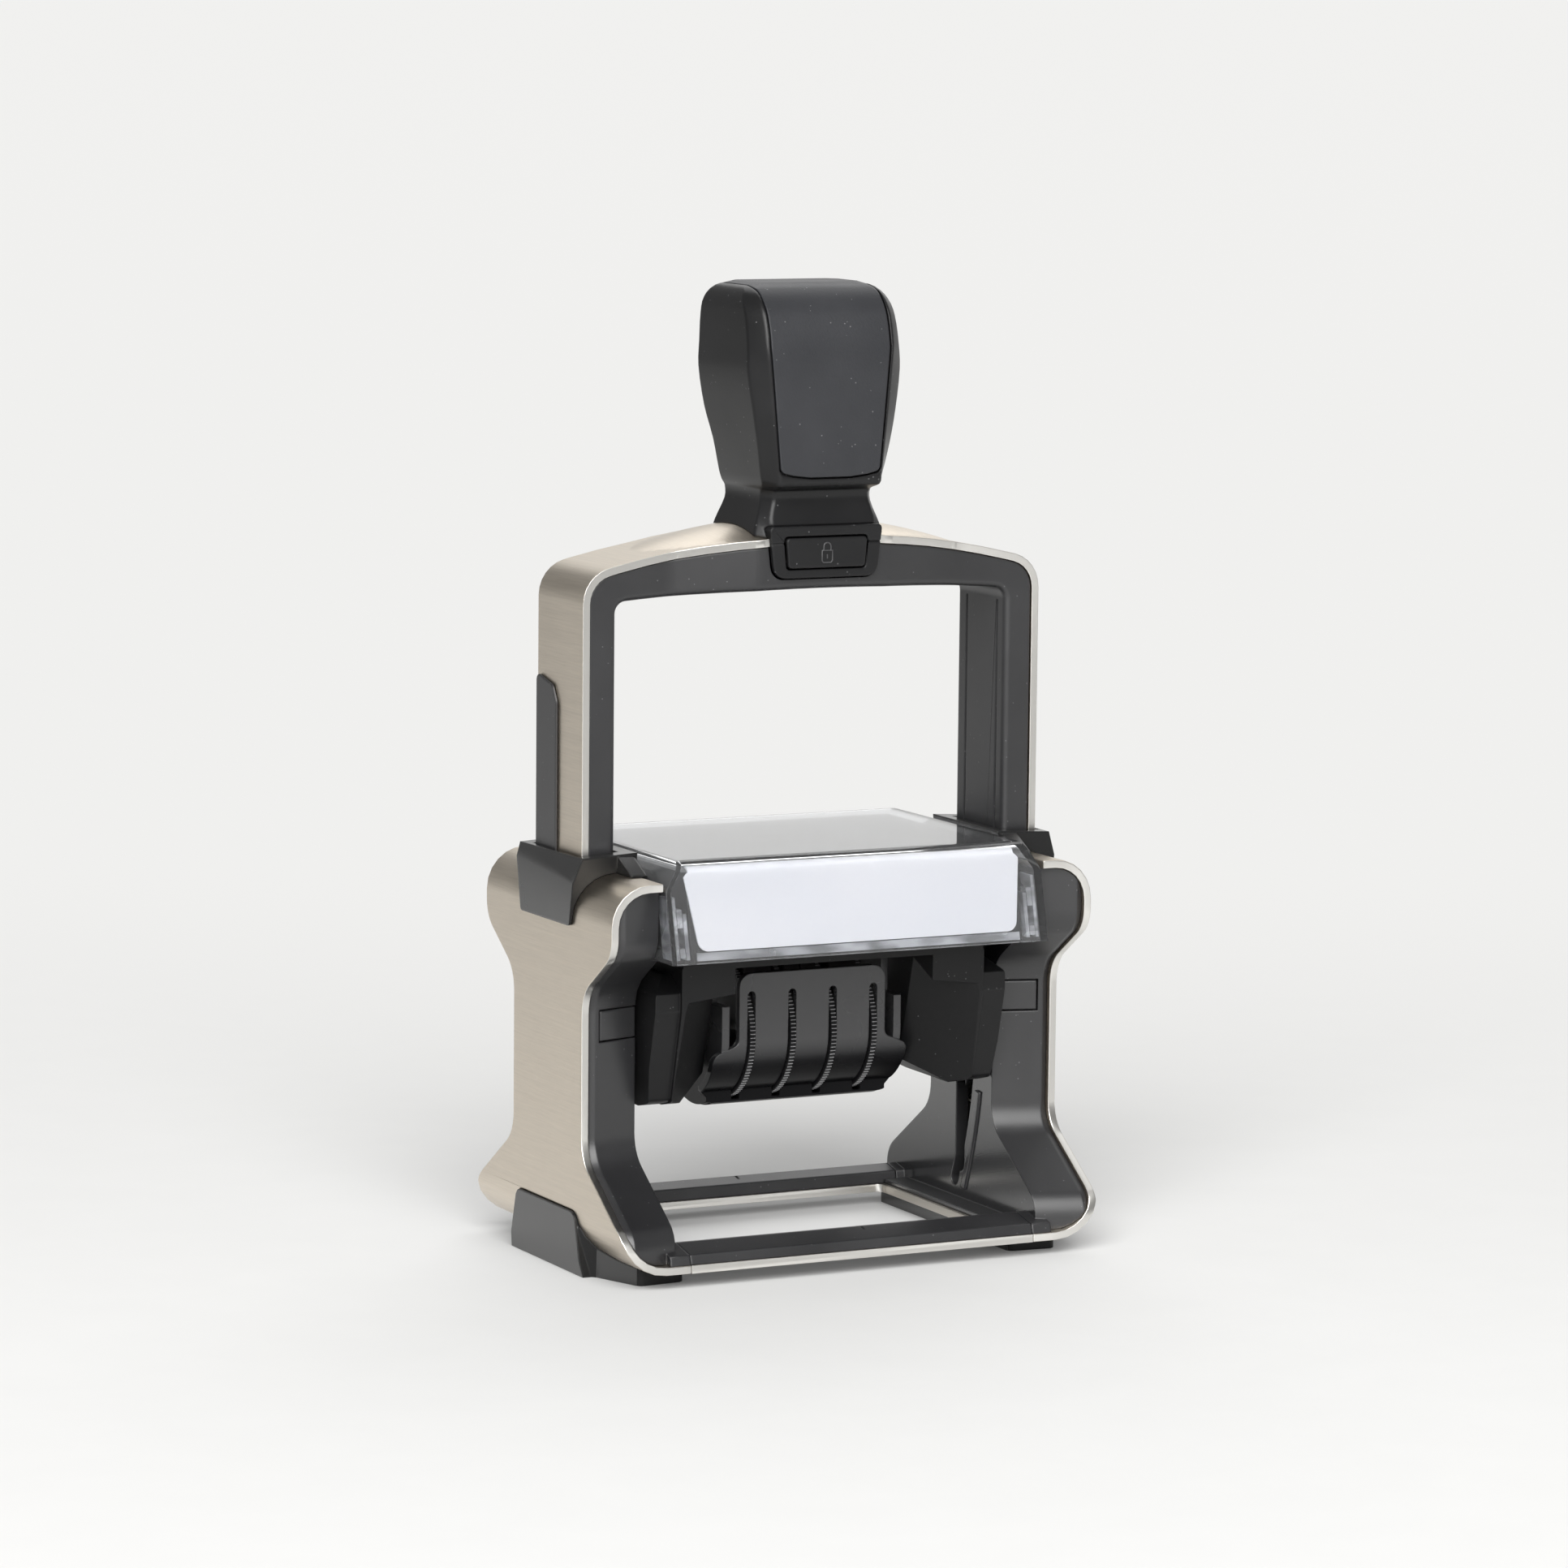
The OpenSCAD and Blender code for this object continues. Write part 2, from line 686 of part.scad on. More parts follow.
module index_card() {
    color(paper) intersection() {
        difference() {
            cover_solid(cover_t + 0.1, cover_t + 1, seat_z - past);
            cover_solid(cover_t + 0.1 + card_t, 0, seat_z - 2 * past);
        }
        along_y(-cover_d, 0) polygon(rounded(both_sides([
            [cover_top_hx - 2.8, seat_z + 1.9, 2],
            [cover_top_hx - 0.9, cover_z - cover_t - 0.35 * crease_r, 0]
        ])));
    }
}

module pad_housing() {
    color(black) difference() {
        union() {
            intersection() {
                cover_solid(cover_t + card_t + 0.35, cover_t + 0.1, seat_z + seat_gap);
                block([-housing_hx, -cover_d, seat_z], [housing_hx, cover_d, cover_z - cover_t - 1]);
            }
            block([-wall_in - 0.1, -plate_hy, seat_z + seat_gap], [wall_in + 0.1, plate_hy, seat_z + 1.4]);
        }
        block([-tray_hx - slide_gap, -tray_front - slide_gap, tray_z - 0.15],
            [tray_hx + slide_gap, cover_d, tray_top + slide_gap]);
        block([-plate_hx - 1.6, -window_hy - 0.6, seat_z - past],
            [plate_hx + 1.6, window_hy + 0.6, tray_z + past]);
    }
}

module cartridge_tray() {
    color(charcoal) difference() {
        intersection() {
            block([-tray_hx, -tray_front, tray_z], [tray_hx, cover_d, tray_top]);
            along_x(-cover_hx, cover_hx) polygon(cover_side(-0.2, seat_z));
        }
        block([-plate_hx - 0.6, -plate_hy - 1.3, tray_z - past],
            [plate_hx + 0.6, plate_hy + 1.3, pad_z + pad_t]);
        along_x(-12, 12) translate([cover_d / 2 + 1, (tray_z + tray_top) / 2]) circle(r = 3.4);
    }
}

module ink_pad() {
    color(black) block([-plate_hx - 0.5, -plate_hy - 1.2, pad_z],
        [plate_hx + 0.5, plate_hy + 1.2, pad_z + pad_t]);
}

// Bail, handle and lock

// Front view of the bail t inside its outer face, down to z0
function bail_front(t, z0) =
    let (
        w = leg_out - t,
        r = arch_r - t,
        top = [for (i = [7:-1:-7]) let (x = w * i / 8) [x, beam_top - arch_r + sqrt(r * r - x * x), 0]],
        shoulder = beam_top - arch_r + sqrt(r * r - w * w)
    )
    rounded(concat(
        [[w, z0, 0], [w, shoulder, bail_corner_r - t]],
        top,
        [[-w, shoulder, bail_corner_r - t], [-w, z0, 0]]
    ));

// Front view of the window between the legs
function bail_window(z0) =
    let (
        low = beam_z + under_rise - under_r,
        top = [for (i = [7:-1:-7]) let (x = leg_in * i / 8) [x, low + sqrt(under_r * under_r - x * x), 0]]
    )
    rounded(concat(
        [[leg_in, z0, 0], [leg_in, beam_z, 2.2]],
        top,
        [[-leg_in, beam_z, 2.2], [-leg_in, z0, 0]]
    ));

// Plan of the bail, inset by t: the beam is deeper at the handle
function bail_plan(t) =
    let (half = [
        [leg_out + past, leg_hy - t, 0],
        [29, leg_hy - t, 12],
        [13, beam_hy - t, 8]
    ])
    rounded(concat(
        [for (c = half) c],
        [for (i = [2:-1:0]) [-half[i].x, half[i].y, half[i].z]],
        [for (c = half) [-c.x, -c.y, c.z]],
        [for (i = [2:-1:0]) [half[i].x, -half[i].y, half[i].z]]
    ));

handle_screw_x = 6;
handle_screw_y = 3.4;
handle_screw_r = 1.6;
handle_head_r = 2.8;

module each_handle_screw() {
    for (x = [-handle_screw_x, handle_screw_x]) translate([x, handle_screw_y, 0]) children();
}

module bezel_space(gap) {
    along_y(bezel_y - past, -leg_hy + 1.6 + gap) polygon(rounded(both_sides([
        [bezel_w / 2 - 1.1 + gap, bezel_z - gap, 2.4],
        [bezel_w / 2 + gap, bezel_z + bezel_h + gap, 0.8]
    ])));
}

module button_space(gap, y0, y1) {
    along_y(y0, y1) polygon(rounded(both_sides([
        [button_w / 2 - 0.5 + gap, button_z - gap, 0.7],
        [button_w / 2 + gap, button_z + button_h + gap, 0.7]
    ])));
}

// Room that the lock button needs behind the bezel
module button_room() {
    button_space(slide_gap, -beam_hy, -leg_hy + 1.6 + button_travel + 1);
}

module bail_frame() {
    color(black) difference() {
        intersection() {
            along_y(-beam_hy, beam_hy) difference() {
                polygon(bail_front(bail_sheet_t + seat_gap, leg_z));
                polygon(bail_window(leg_z - past));
            }
            along_z(leg_z - past, beam_top + past) polygon(bail_plan(0.35));
        }
        for (side = [-1, 1]) {
            translate([side * spring_x, spring_y, leg_z - past])
                cylinder(h = spring_top - leg_z + past, r = spring_r + spring_wire / 2 + 0.4);
            bar_x(side * leg_in - past, side * leg_in + past, 0, axle_z, axle_r + pin_gap);
            on_side(side) bar_x(leg_in - past, leg_out - bail_sheet_t - 0.8, 0, axle_z, axle_r + pin_gap);
            for (y = [-0.65 * leg_hy, 0.57 * leg_hy])
                on_side(side)
                    block([leg_in - past, y - 0.18, leg_z - past], [leg_in + 0.3, y + 0.18, beam_z - 2.4]);
        }
        bezel_space(seat_gap);
        button_room();
        each_handle_screw() {
            translate([0, 0, beam_z]) cylinder(h = beam_h, r = handle_screw_r + 0.1);
            translate([0, 0, beam_z - past]) cylinder(h = under_rise + past + 2.4, r = handle_head_r + 0.2);
        }
    }
}

module crown(gap) {
    intersection() {
        translate([0, 0, beam_top + crown_h - crown_r]) rotate([90, 0, 0])
            rotate_extrude($fn = 180) translate([crown_r - crown_across, 0])
                circle(r = crown_across + gap, $fn = 120);
        block([-crown_x - 2, -beam_hy - past, beam_top - 5],
            [crown_x + 2, beam_hy + past, beam_top + crown_h + past]);
    }
}

module bail_band() {
    color(steel) difference() {
        intersection() {
            union() {
                along_y(-beam_hy, beam_hy) polygon(bail_front(0, leg_z + 1.5));
                crown(0);
            }
            along_z(leg_z, beam_top + crown_h + past) polygon(bail_plan(0));
        }
        along_y(-beam_hy - past, beam_hy + past) polygon(bail_front(bail_sheet_t, leg_z - past));
        bezel_space(seat_gap);
        button_room();
        each_handle_screw() translate([0, 0, beam_z])
            cylinder(h = beam_h + crown_h + past, r = handle_screw_r + 0.1);
    }
}

module guide_rail(side) {
    color(black) on_side(side) along_x(leg_out, leg_out + rail_proud) polygon(rounded([
        [0.65, leg_z + 2, 0],
        [leg_hy - 0.3, leg_z + 2, 0],
        [leg_hy - 0.3, shoulder_z + rail_rise, 1.2],
        [2.4, shoulder_z + rail_rise - 1.6, 1.6],
        [0.65, shoulder_z + rail_rise - 4.5, 1.2]
    ]));
}

// Plan outline of the handle at one station, t inside its surface
function handle_ring(s, t) =
    let (
        panel = min(s[1] - 1.6, inlay_low_w + (inlay_w - inlay_low_w)
            * max(0, min(1, (s[0] - inlay_low_h) / (inlay_wide_h - inlay_low_h))) + 0.4) - t / 2,
        w = s[1] - t
    )
    [for (p = rounded([
        [w, s[4] - t / 2, 1],
        [panel, s[5] - t, 1],
        [-panel, s[5] - t, 1],
        [-w, s[4] - t / 2, 1],
        [-w, t / 2 - s[2], 1],
        [-panel, t - s[3], 1],
        [panel, t - s[3], 1],
        [w, t / 2 - s[2], 1]
    ], 2)) [p.x, p.y, beam_top + s[0] - t * max(0, min(1, (s[0] - 37) / 8))]];

// Slope of column c of the stations at station k, over the height
function handle_slope(k, c) =
    let (
        low = handle_stations[max(0, k - 1)],
        high = handle_stations[min(len(handle_stations) - 1, k + 1)]
    )
    (high[c] - low[c]) / (high[0] - low[0]);

// Station between stations k and k + 1, on a smooth curve through all of them
function handle_between(k, f) =
    let (
        a = handle_stations[k],
        b = handle_stations[k + 1],
        h = b[0] - a[0]
    )
    [for (c = [0:5]) c == 0 ? a[0] + h * f :
        a[c] * (1 + 2 * f) * (1 - f) * (1 - f) + b[c] * f * f * (3 - 2 * f)
        + h * f * (1 - f) * (handle_slope(k, c) * (1 - f) - handle_slope(k + 1, c) * f)];

handle_rows = concat(
    [for (k = [0:len(handle_stations) - 2], f = [0, 1 / 3, 2 / 3]) handle_between(k, f)],
    [handle_stations[len(handle_stations) - 1]]
);

module handle_body(t) {
    skin([for (s = handle_rows) handle_ring(s, t)]);
}

module inlay_space(gap) {
    along_y(-40, 40) polygon(rounded(both_sides([
        [0.4 * inlay_low_w, beam_top + inlay_low_h - gap - 0.3, 0],
        [0.75 * inlay_low_w, beam_top + inlay_low_h - gap + 0.1, 0],
        [inlay_low_w + gap, beam_top + inlay_low_h - gap + 0.7, 1.2],
        [inlay_w + gap - 0.3, beam_top + inlay_wide_h, 0],
        [inlay_w + gap - 0.3, beam_top + 60, 0]
    ])));
}

module handle_core() {
    color(black) difference() {
        handle_body(0);
        difference() {
            inlay_space(inlay_groove);
            handle_body(inlay_t);
        }
        along_y(-40, 40) polygon(bail_front(-seat_gap, beam_z));
        crown(seat_gap);
        bezel_space(seat_gap);
        each_handle_screw() translate([0, 0, beam_z]) cylinder(h = beam_h + 10.2, r = handle_screw_r + 0.05);
    }
}

module grip_inlay() {
    color(charcoal) intersection() {
        difference() {
            handle_body(0.05);
            handle_body(inlay_t - seat_gap);
        }
        inlay_space(0);
    }
}

module handle_screws() {
    color(steel) each_handle_screw() difference() {
        union() {
            translate([0, 0, beam_z + under_rise + 0.3]) cylinder(h = 2, r = handle_head_r);
            translate([0, 0, beam_z + under_rise + 1]) cylinder(h = beam_h + 7, r = handle_screw_r);
        }
        translate([0, 0, beam_z]) cylinder(h = under_rise + 1.4, r = 1.3, $fn = 6);
    }
}

module lock_bezel() {
    color(black) difference() {
        intersection() {
            bezel_space(0);
            block([-bezel_w, bezel_y, bezel_z - past], [bezel_w, 0, bezel_z + bezel_h + past]);
        }
        button_space(slide_gap, bezel_y - past, 0);
        for (side = [-1, 1])
            translate([side * bezel_w / 2, bezel_y, bezel_z + 6.3]) cube([6, 0.6, 0.3], center = true);
    }
}

module lock_button() {
    color(charcoal) button_space(0, bezel_y - 0.35, -leg_hy + 1.6);
}

// Printing carriage

// Side view of a carriage arm, placed from the axle: upright at the front, then down to the heel
function arm_side(front_y, top_in, rear_y, top_z) = rounded([
    [-front_y, axle_z - 1.8, 1.5],
    [4.2 - front_y, axle_z - 18.9, 1.5],
    [8.5 - front_y, axle_z - 20, 2],
    [6, axle_z - 19.8, 2],
    [14, axle_z - 4, 2],
    [rear_y, axle_z + top_z, 0],
    [top_in - front_y, axle_z + top_z, 0],
    [-front_y, axle_z + 1.5, 0]
]);

arm_out = wall_in - 1;
arm_in = cheek_x + 3.3;
carrier_t = 2.6;
carrier_z = axle_z + die_h - die_t - plate_t - carrier_t;

// Room in front of the slanted face of an arm, under the web that joins it to the plate
module arm_facet() {
    translate([plate_hx, -plate_hy - 0.3, axle_z - 0.3]) rotate([11.7, 0, -43.7])
        along_y(-40, 0) polygon([[-40, -60], [40, -60], [40, 0], [0, 0], [-14, 5], [-40, 5]]);
}

module die_carrier() {
    color(black) difference() {
        union() {
            block([-plate_hx - 1, -plate_hy - 0.3, carrier_z],
                [plate_hx + 1, plate_hy + 0.3, carrier_z + carrier_t]);
            for (side = [-1, 1]) on_side(side) {
                difference() {
                    intersection() {
                        along_x(arm_in, plate_hx + 1.2)
                            polygon(arm_side(plate_hy + 0.3, 0, 15, carrier_z + 0.5 - axle_z));
                        along_y(-foot_hy, foot_hy) polygon([
                            [arm_in, axle_z - 15.6],
                            [plate_hx + 1.2, axle_z - 21.5],
                            [plate_hx + 1.2, carrier_z + 1],
                            [arm_in, carrier_z + 1]
                        ]);
                    }
                    arm_facet();
                }
                intersection() {
                    along_x(plate_hx + 1, arm_out) polygon(arm_side(plate_hy - 0.5, 4, 14, 4.5));
                    along_y(-foot_hy, foot_hy) polygon(rounded([
                        [plate_hx, axle_z - 21, 0],
                        [arm_out - 0.8, axle_z - 21, 0],
                        [arm_out, axle_z - 12, 0],
                        [arm_out, axle_z + 1.5, 2],
                        [plate_hx + 2.2, axle_z + 5, 0],
                        [plate_hx, axle_z + 5, 0]
                    ]));
                }
            }
        }
        block([-cheek_x - 2, -8.4, carrier_z - past], [cheek_x + 2, 8.4, carrier_z + 4]);
        for (side = [-1, 1]) on_side(side) {
            bar_x(arm_out - 7, arm_out + past, 0, axle_z, axle_r + 0.02);
            bar_x(arm_out - 4, arm_out + past, cam_path(0).x, cam_path(0).y, cam_pin_r + 0.02);
        }
    }
}

window_x = wheel_pitch * 1.5 - 0.2;

module text_plate() {
    color(steel) difference() {
        block([-plate_hx, -plate_hy, carrier_z + carrier_t],
            [plate_hx, plate_hy, carrier_z + carrier_t + plate_t]);
        block([-window_x, -4.6, carrier_z], [window_x, 4.6, carrier_z + 8]);
    }
}

module text_die() {
    color(rubber_red) difference() {
        block([-die_hx, -die_hy, axle_z + die_h - die_t], [die_hx, die_hy, axle_z + die_h]);
        block([-window_x, -4.2, carrier_z], [window_x, 4.2, axle_z + die_h + past]);
    }
}

module axle_pin(side) {
    color(steel) on_side(side) bar_x(arm_out - 6.8, leg_out - bail_sheet_t - 1.1, 0, axle_z, axle_r);
}

module cam_pin(side) {
    color(steel) on_side(side)
        bar_x(arm_out - 3.8, wall_out - 0.4, cam_path(0).x, cam_path(0).y, cam_pin_r);
}

// Where the front shell of the housing ends at a lip, and the wall behind the lip
lip_y = wheel_y - 5.5;
lip_wall = 1.2;

// Side view of the housing: front shell of radius front_r, behind the plane split a shell of radius rear_r
module housing_side(front_r, rear_r, top, split) {
    intersection() {
        union() {
            translate([wheel_y, wheel_z]) circle(r = front_r);
            translate([wheel_y - front_r, wheel_z]) square([front_r, top - wheel_z]);
        }
        translate([-40, 0]) square([40 + split, 200]);
    }
    intersection() {
        union() {
            translate([wheel_y, wheel_z]) circle(r = rear_r);
            translate([wheel_y, wheel_z]) square([rear_r, top - wheel_z]);
            translate([split, wheel_z]) square([rear_r, top - wheel_z]);
        }
        translate([split, 0]) square([40, 200]);
    }
}

module band_housing() {
    front_top = axle_z + 2.9;
    color(black) union() {
        difference() {
            intersection() {
                along_x(-25, 25) housing_side(shell_r, rear_shell_r, front_top, lip_y);
                along_y(-40, 40) polygon(rounded(both_sides([
                    [cheek_x + 0.2, wheel_z - 20, 0],
                    [cheek_x + 0.2, wheel_z - 13.1, 0],
                    [cheek_x + 2.6, wheel_z - 10.6, 1],
                    [cheek_x + 3.1, wheel_z - 3.2, 2],
                    [housing_front_w, wheel_z - 1.2, 1.5],
                    [housing_front_w, front_top, 2.5]
                ])));
            }
            along_x(-26, 26)
                housing_side(shell_r - housing_t, rear_shell_r - lip_t, front_top + past, lip_y + lip_wall);
            for (i = wheel_ids) wheel_slot(wheel_x(i));
        }
        for (side = [-1, 1]) on_side(side) difference() {
            along_x(cheek_x, cheek_x + 1.5) {
                intersection() {
                    housing_side(shell_r - 0.2, rear_shell_r - 0.2, axle_z, lip_y);
                    translate([-40, 0]) square([80, wheel_z + 6]);
                }
                translate([-5, wheel_z]) square([10, carrier_z - wheel_z]);
            }
            bar_x(0, cheek_x + 5, wheel_y, wheel_z, wheel_axle_r + 0.02);
        }
    }
}

wheel_ids = [for (i = [-wheels_a_side:wheels_a_side]) if (i != 0) i];

// Place of wheel i, counted from the middle: half a pitch for the first on each side
function wheel_x(i) = sign(i) * (abs(i) - 0.5) * wheel_pitch;

slot_w = wheel_rim_t + 0.6;
slot_top = wheel_z + sqrt(wheel_r * wheel_r - pow(shell_r - housing_t, 2)) + 0.6;
slot_low = wheel_z - sqrt(wheel_r * wheel_r - pow(wheel_y - lip_y - lip_wall, 2)) - 0.45;

module wheel_slot(x) {
    along_y(wheel_y - shell_r - 4, lip_y + lip_wall + 0.6) translate([x, 0]) {
        translate([-slot_w / 2, slot_low]) square([slot_w, slot_top - slot_low]);
        translate([0, slot_top]) circle(d = slot_w);
    }
}

module band_nose() {
    color(black) {
        block([-cheek_x + seat_gap, -0.9, wheel_z + wheel_r + 0.4],
            [cheek_x - seat_gap, 0.9, carrier_z + carrier_t - 0.3]);
        block([0.4 - window_x, -0.9, carrier_z], [window_x - 0.4, 0.9, nose_z]);
        bar_x(-window_x + 0.4, window_x - 0.4, 0, nose_z, nose_r);
    }
}

module wheel_axle() {
    color(steel) bar_x(-cheek_x - 1.5, cheek_x + 1.5, wheel_y, wheel_z, wheel_axle_r);
}

// Angle of the straight runs of a band between its drum and the nose
band_span = norm([wheel_y, nose_z - wheel_z]);
band_tilt = atan2(wheel_y, nose_z - wheel_z);

// Side view of a loop round the drum and the nose, t outside the drum
function loop(t) =
    let (
        big = drum_r + t,
        small = nose_r + seat_gap + t - 0.3,
        open = asin((big - small) / band_span)
    )
    concat(
        [for (i = [0:24]) let (a = 90 + band_tilt - (90 - open) - (180 + 2 * open) * i / 24)
            [wheel_y + big * cos(a), wheel_z + big * sin(a)]],
        [for (i = [0:10]) let (a = 90 + band_tilt + (90 - open) - (180 - 2 * open) * i / 10)
            [small * cos(a), nose_z + small * sin(a)]]
    );

// Inner and outer ends of the band beside wheel i
function band_near(i) = abs(i) == 1 ? 0.15 : wheel_x(abs(i)) - wheel_rim_t / 2 - 0.4 - outer_band_w;
function band_far(i) = wheel_x(abs(i)) - wheel_rim_t / 2 - 0.4;

module date_band(i) {
    color(rubber_red) on_side(sign(i)) along_x(band_near(i), band_far(i)) difference() {
        polygon(loop(0.3 + date_band_t));
        polygon(loop(0.3));
    }
}

// Knurled rim of a date wheel
function knurl_ring() = [for (k = [0:2 * knurls - 1])
    let (
        a = 180 * k / knurls,
        r = wheel_r - (k % 2 == 0 ? 0 : knurl_d)
    )
    [wheel_y + r * cos(a), wheel_z + r * sin(a)]];

module date_wheel(i) {
    color(black) on_side(sign(i)) difference() {
        union() {
            along_x(wheel_x(abs(i)) - wheel_rim_t / 2, wheel_x(abs(i)) + wheel_rim_t / 2) polygon(knurl_ring());
            bar_x(band_near(i) + 0.05, wheel_x(abs(i)), wheel_y, wheel_z, drum_r);
            bar_x(wheel_x(abs(i)), wheel_x(abs(i)) + 1, wheel_y, wheel_z, wheel_axle_r + 1.4);
        }
        bar_x(-5, cheek_x + 5, wheel_y, wheel_z, wheel_axle_r + pin_gap);
    }
}

steel_band(-1);  // left_band
steel_band(1);  // right_band
base_plate();
side_frame(-1);  // left_side_frame
side_frame(1);  // right_side_frame
base_rail(-1);  // front_rail
base_rail(1);  // rear_rail
side_tabs();
foot(-1);  // left_foot
foot(1);  // right_foot
base_screws();
collar(-1);  // left_collar
collar(1);  // right_collar
return_spring(-1);  // left_spring
return_spring(1);  // right_spring
pad_housing();
index_cover();
index_card();
cartridge_tray();
ink_pad();
bail_frame();
bail_band();
guide_rail(-1);  // left_guide_rail
guide_rail(1);  // right_guide_rail
handle_core();
grip_inlay();
handle_screws();
lock_bezel();
lock_button();
die_carrier();
text_plate();
text_die();
band_housing();
band_nose();
wheel_axle();
axle_pin(-1);  // left_axle_pin
axle_pin(1);  // right_axle_pin
cam_pin(-1);  // left_cam_pin
cam_pin(1);  // right_cam_pin
date_band(-2);  // month_band
date_band(-1);  // day_tens_band
date_band(1);  // day_units_band
date_band(2);  // year_band
date_wheel(-2);  // month_wheel
date_wheel(-1);  // day_tens_wheel
date_wheel(1);  // day_units_wheel
date_wheel(2);  // year_wheel
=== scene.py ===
import json
import math

import bmesh
import bpy
from mathutils import Matrix, Vector

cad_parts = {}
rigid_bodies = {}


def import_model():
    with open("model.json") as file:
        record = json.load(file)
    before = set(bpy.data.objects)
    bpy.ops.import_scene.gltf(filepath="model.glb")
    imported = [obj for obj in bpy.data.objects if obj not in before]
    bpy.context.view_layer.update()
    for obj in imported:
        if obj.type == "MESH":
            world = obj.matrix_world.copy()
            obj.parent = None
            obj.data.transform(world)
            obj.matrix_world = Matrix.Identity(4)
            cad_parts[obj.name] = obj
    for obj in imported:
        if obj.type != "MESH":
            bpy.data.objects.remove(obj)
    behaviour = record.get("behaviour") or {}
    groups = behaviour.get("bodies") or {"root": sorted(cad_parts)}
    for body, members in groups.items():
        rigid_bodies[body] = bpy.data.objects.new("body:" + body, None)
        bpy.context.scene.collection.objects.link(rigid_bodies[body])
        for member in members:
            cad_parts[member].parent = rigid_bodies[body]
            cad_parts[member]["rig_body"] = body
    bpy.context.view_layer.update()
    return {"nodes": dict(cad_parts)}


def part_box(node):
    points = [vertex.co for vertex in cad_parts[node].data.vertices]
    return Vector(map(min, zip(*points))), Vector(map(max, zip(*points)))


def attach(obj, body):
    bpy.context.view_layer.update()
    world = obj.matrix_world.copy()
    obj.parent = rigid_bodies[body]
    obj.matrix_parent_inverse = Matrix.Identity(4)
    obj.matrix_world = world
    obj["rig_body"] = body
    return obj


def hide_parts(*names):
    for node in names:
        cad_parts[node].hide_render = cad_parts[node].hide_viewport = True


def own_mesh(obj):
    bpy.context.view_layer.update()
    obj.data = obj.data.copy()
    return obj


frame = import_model()
nodes = frame["nodes"]
MM = 0.001
WELD = 2e-6


# Objects and meshes

def new_object(name, data):
    obj = bpy.data.objects.new(name, data)
    bpy.context.scene.collection.objects.link(obj)
    return obj


def new_mesh(name, bm):
    """A mesh from a bmesh, which is freed."""
    mesh = bpy.data.meshes.new(name)
    bm.to_mesh(mesh)
    bm.free()
    return mesh


def plain_mesh(obj):
    """The mesh that an object's modifiers or its curve lead to."""
    deps = bpy.context.evaluated_depsgraph_get()
    return bpy.data.meshes.new_from_object(obj.evaluated_get(deps))


def welded_copy(node):
    """A bmesh of a CAD node with its loose triangles joined."""
    bm = bmesh.new()
    bm.from_mesh(nodes[node].data)
    bmesh.ops.remove_doubles(bm, verts=bm.verts, dist=WELD)
    return bm


def shade_by_angle(mesh, degrees):
    bm = bmesh.new()
    bm.from_mesh(mesh)
    limit = math.radians(degrees)
    for f in bm.faces:
        f.smooth = True
    for e in bm.edges:
        e.smooth = len(e.link_faces) == 2 and e.calc_face_angle(0.0) < limit
    bm.to_mesh(mesh)
    bm.free()


# Shader building blocks

def math_node(tree, operation, a, b=0.5):
    n = tree.nodes.new("ShaderNodeMath")
    n.operation = operation
    for i, v in enumerate((a, b)):
        if isinstance(v, (int, float)):
            n.inputs[i].default_value = v
        else:
            tree.links.new(v, n.inputs[i])
    return n.outputs[0]


def noise_node(tree, vector, scale, detail=3.0, roughness=0.5):
    n = tree.nodes.new("ShaderNodeTexNoise")
    n.inputs["Scale"].default_value = scale
    n.inputs["Detail"].default_value = detail
    n.inputs["Roughness"].default_value = roughness
    tree.links.new(vector, n.inputs["Vector"])
    return n.outputs["Fac"]


def stretched(tree, vector, scale):
    n = tree.nodes.new("ShaderNodeMapping")
    n.inputs["Scale"].default_value = scale
    tree.links.new(vector, n.inputs["Vector"])
    return n.outputs["Vector"]


def coordinates(tree, kind):
    return tree.nodes.new("ShaderNodeTexCoord").outputs[kind]


def weighed(tree, vector, weights):
    """Dot product of a vector with fixed weights."""
    n = tree.nodes.new("ShaderNodeVectorMath")
    n.operation = "DOT_PRODUCT"
    tree.links.new(vector, n.inputs[0])
    n.inputs[1].default_value = weights
    return n.outputs["Value"]


def facing(tree, axis, limit):
    """Mask of the faces that look along an axis, either way."""
    along = weighed(tree, coordinates(tree, "Normal"), axis)
    return math_node(tree, "GREATER_THAN", math_node(tree, "ABSOLUTE", along), limit)


def ramp(tree, fac, stops):
    n = tree.nodes.new("ShaderNodeValToRGB")
    while len(n.color_ramp.elements) < len(stops):
        n.color_ramp.elements.new(0.5)
    for element, (place, colour) in zip(n.color_ramp.elements, stops):
        element.position = place
        element.color = (*colour, 1.0)
    tree.links.new(fac, n.inputs["Fac"])
    return n.outputs["Color"]


def mixed(tree, factor, a, b):
    """Colour a turning into b as the factor goes to 1; each is a socket or a fixed colour."""
    n = tree.nodes.new("ShaderNodeMix")
    n.data_type = "RGBA"
    tree.links.new(factor, n.inputs["Factor"])
    for key, colour in (("A", a), ("B", b)):
        if isinstance(colour, tuple):
            n.inputs[key].default_value = (*colour, 1.0)
        else:
            tree.links.new(colour, n.inputs[key])
    return n.outputs["Result"]


def spread(tree, fac, low, high):
    """A noise value, mostly between 0.3 and 0.7, spread over a range."""
    n = tree.nodes.new("ShaderNodeMapRange")
    n.inputs["From Min"].default_value = 0.3
    n.inputs["From Max"].default_value = 0.7
    n.inputs["To Min"].default_value = low
    n.inputs["To Max"].default_value = high
    tree.links.new(fac, n.inputs["Value"])
    return n.outputs["Result"]


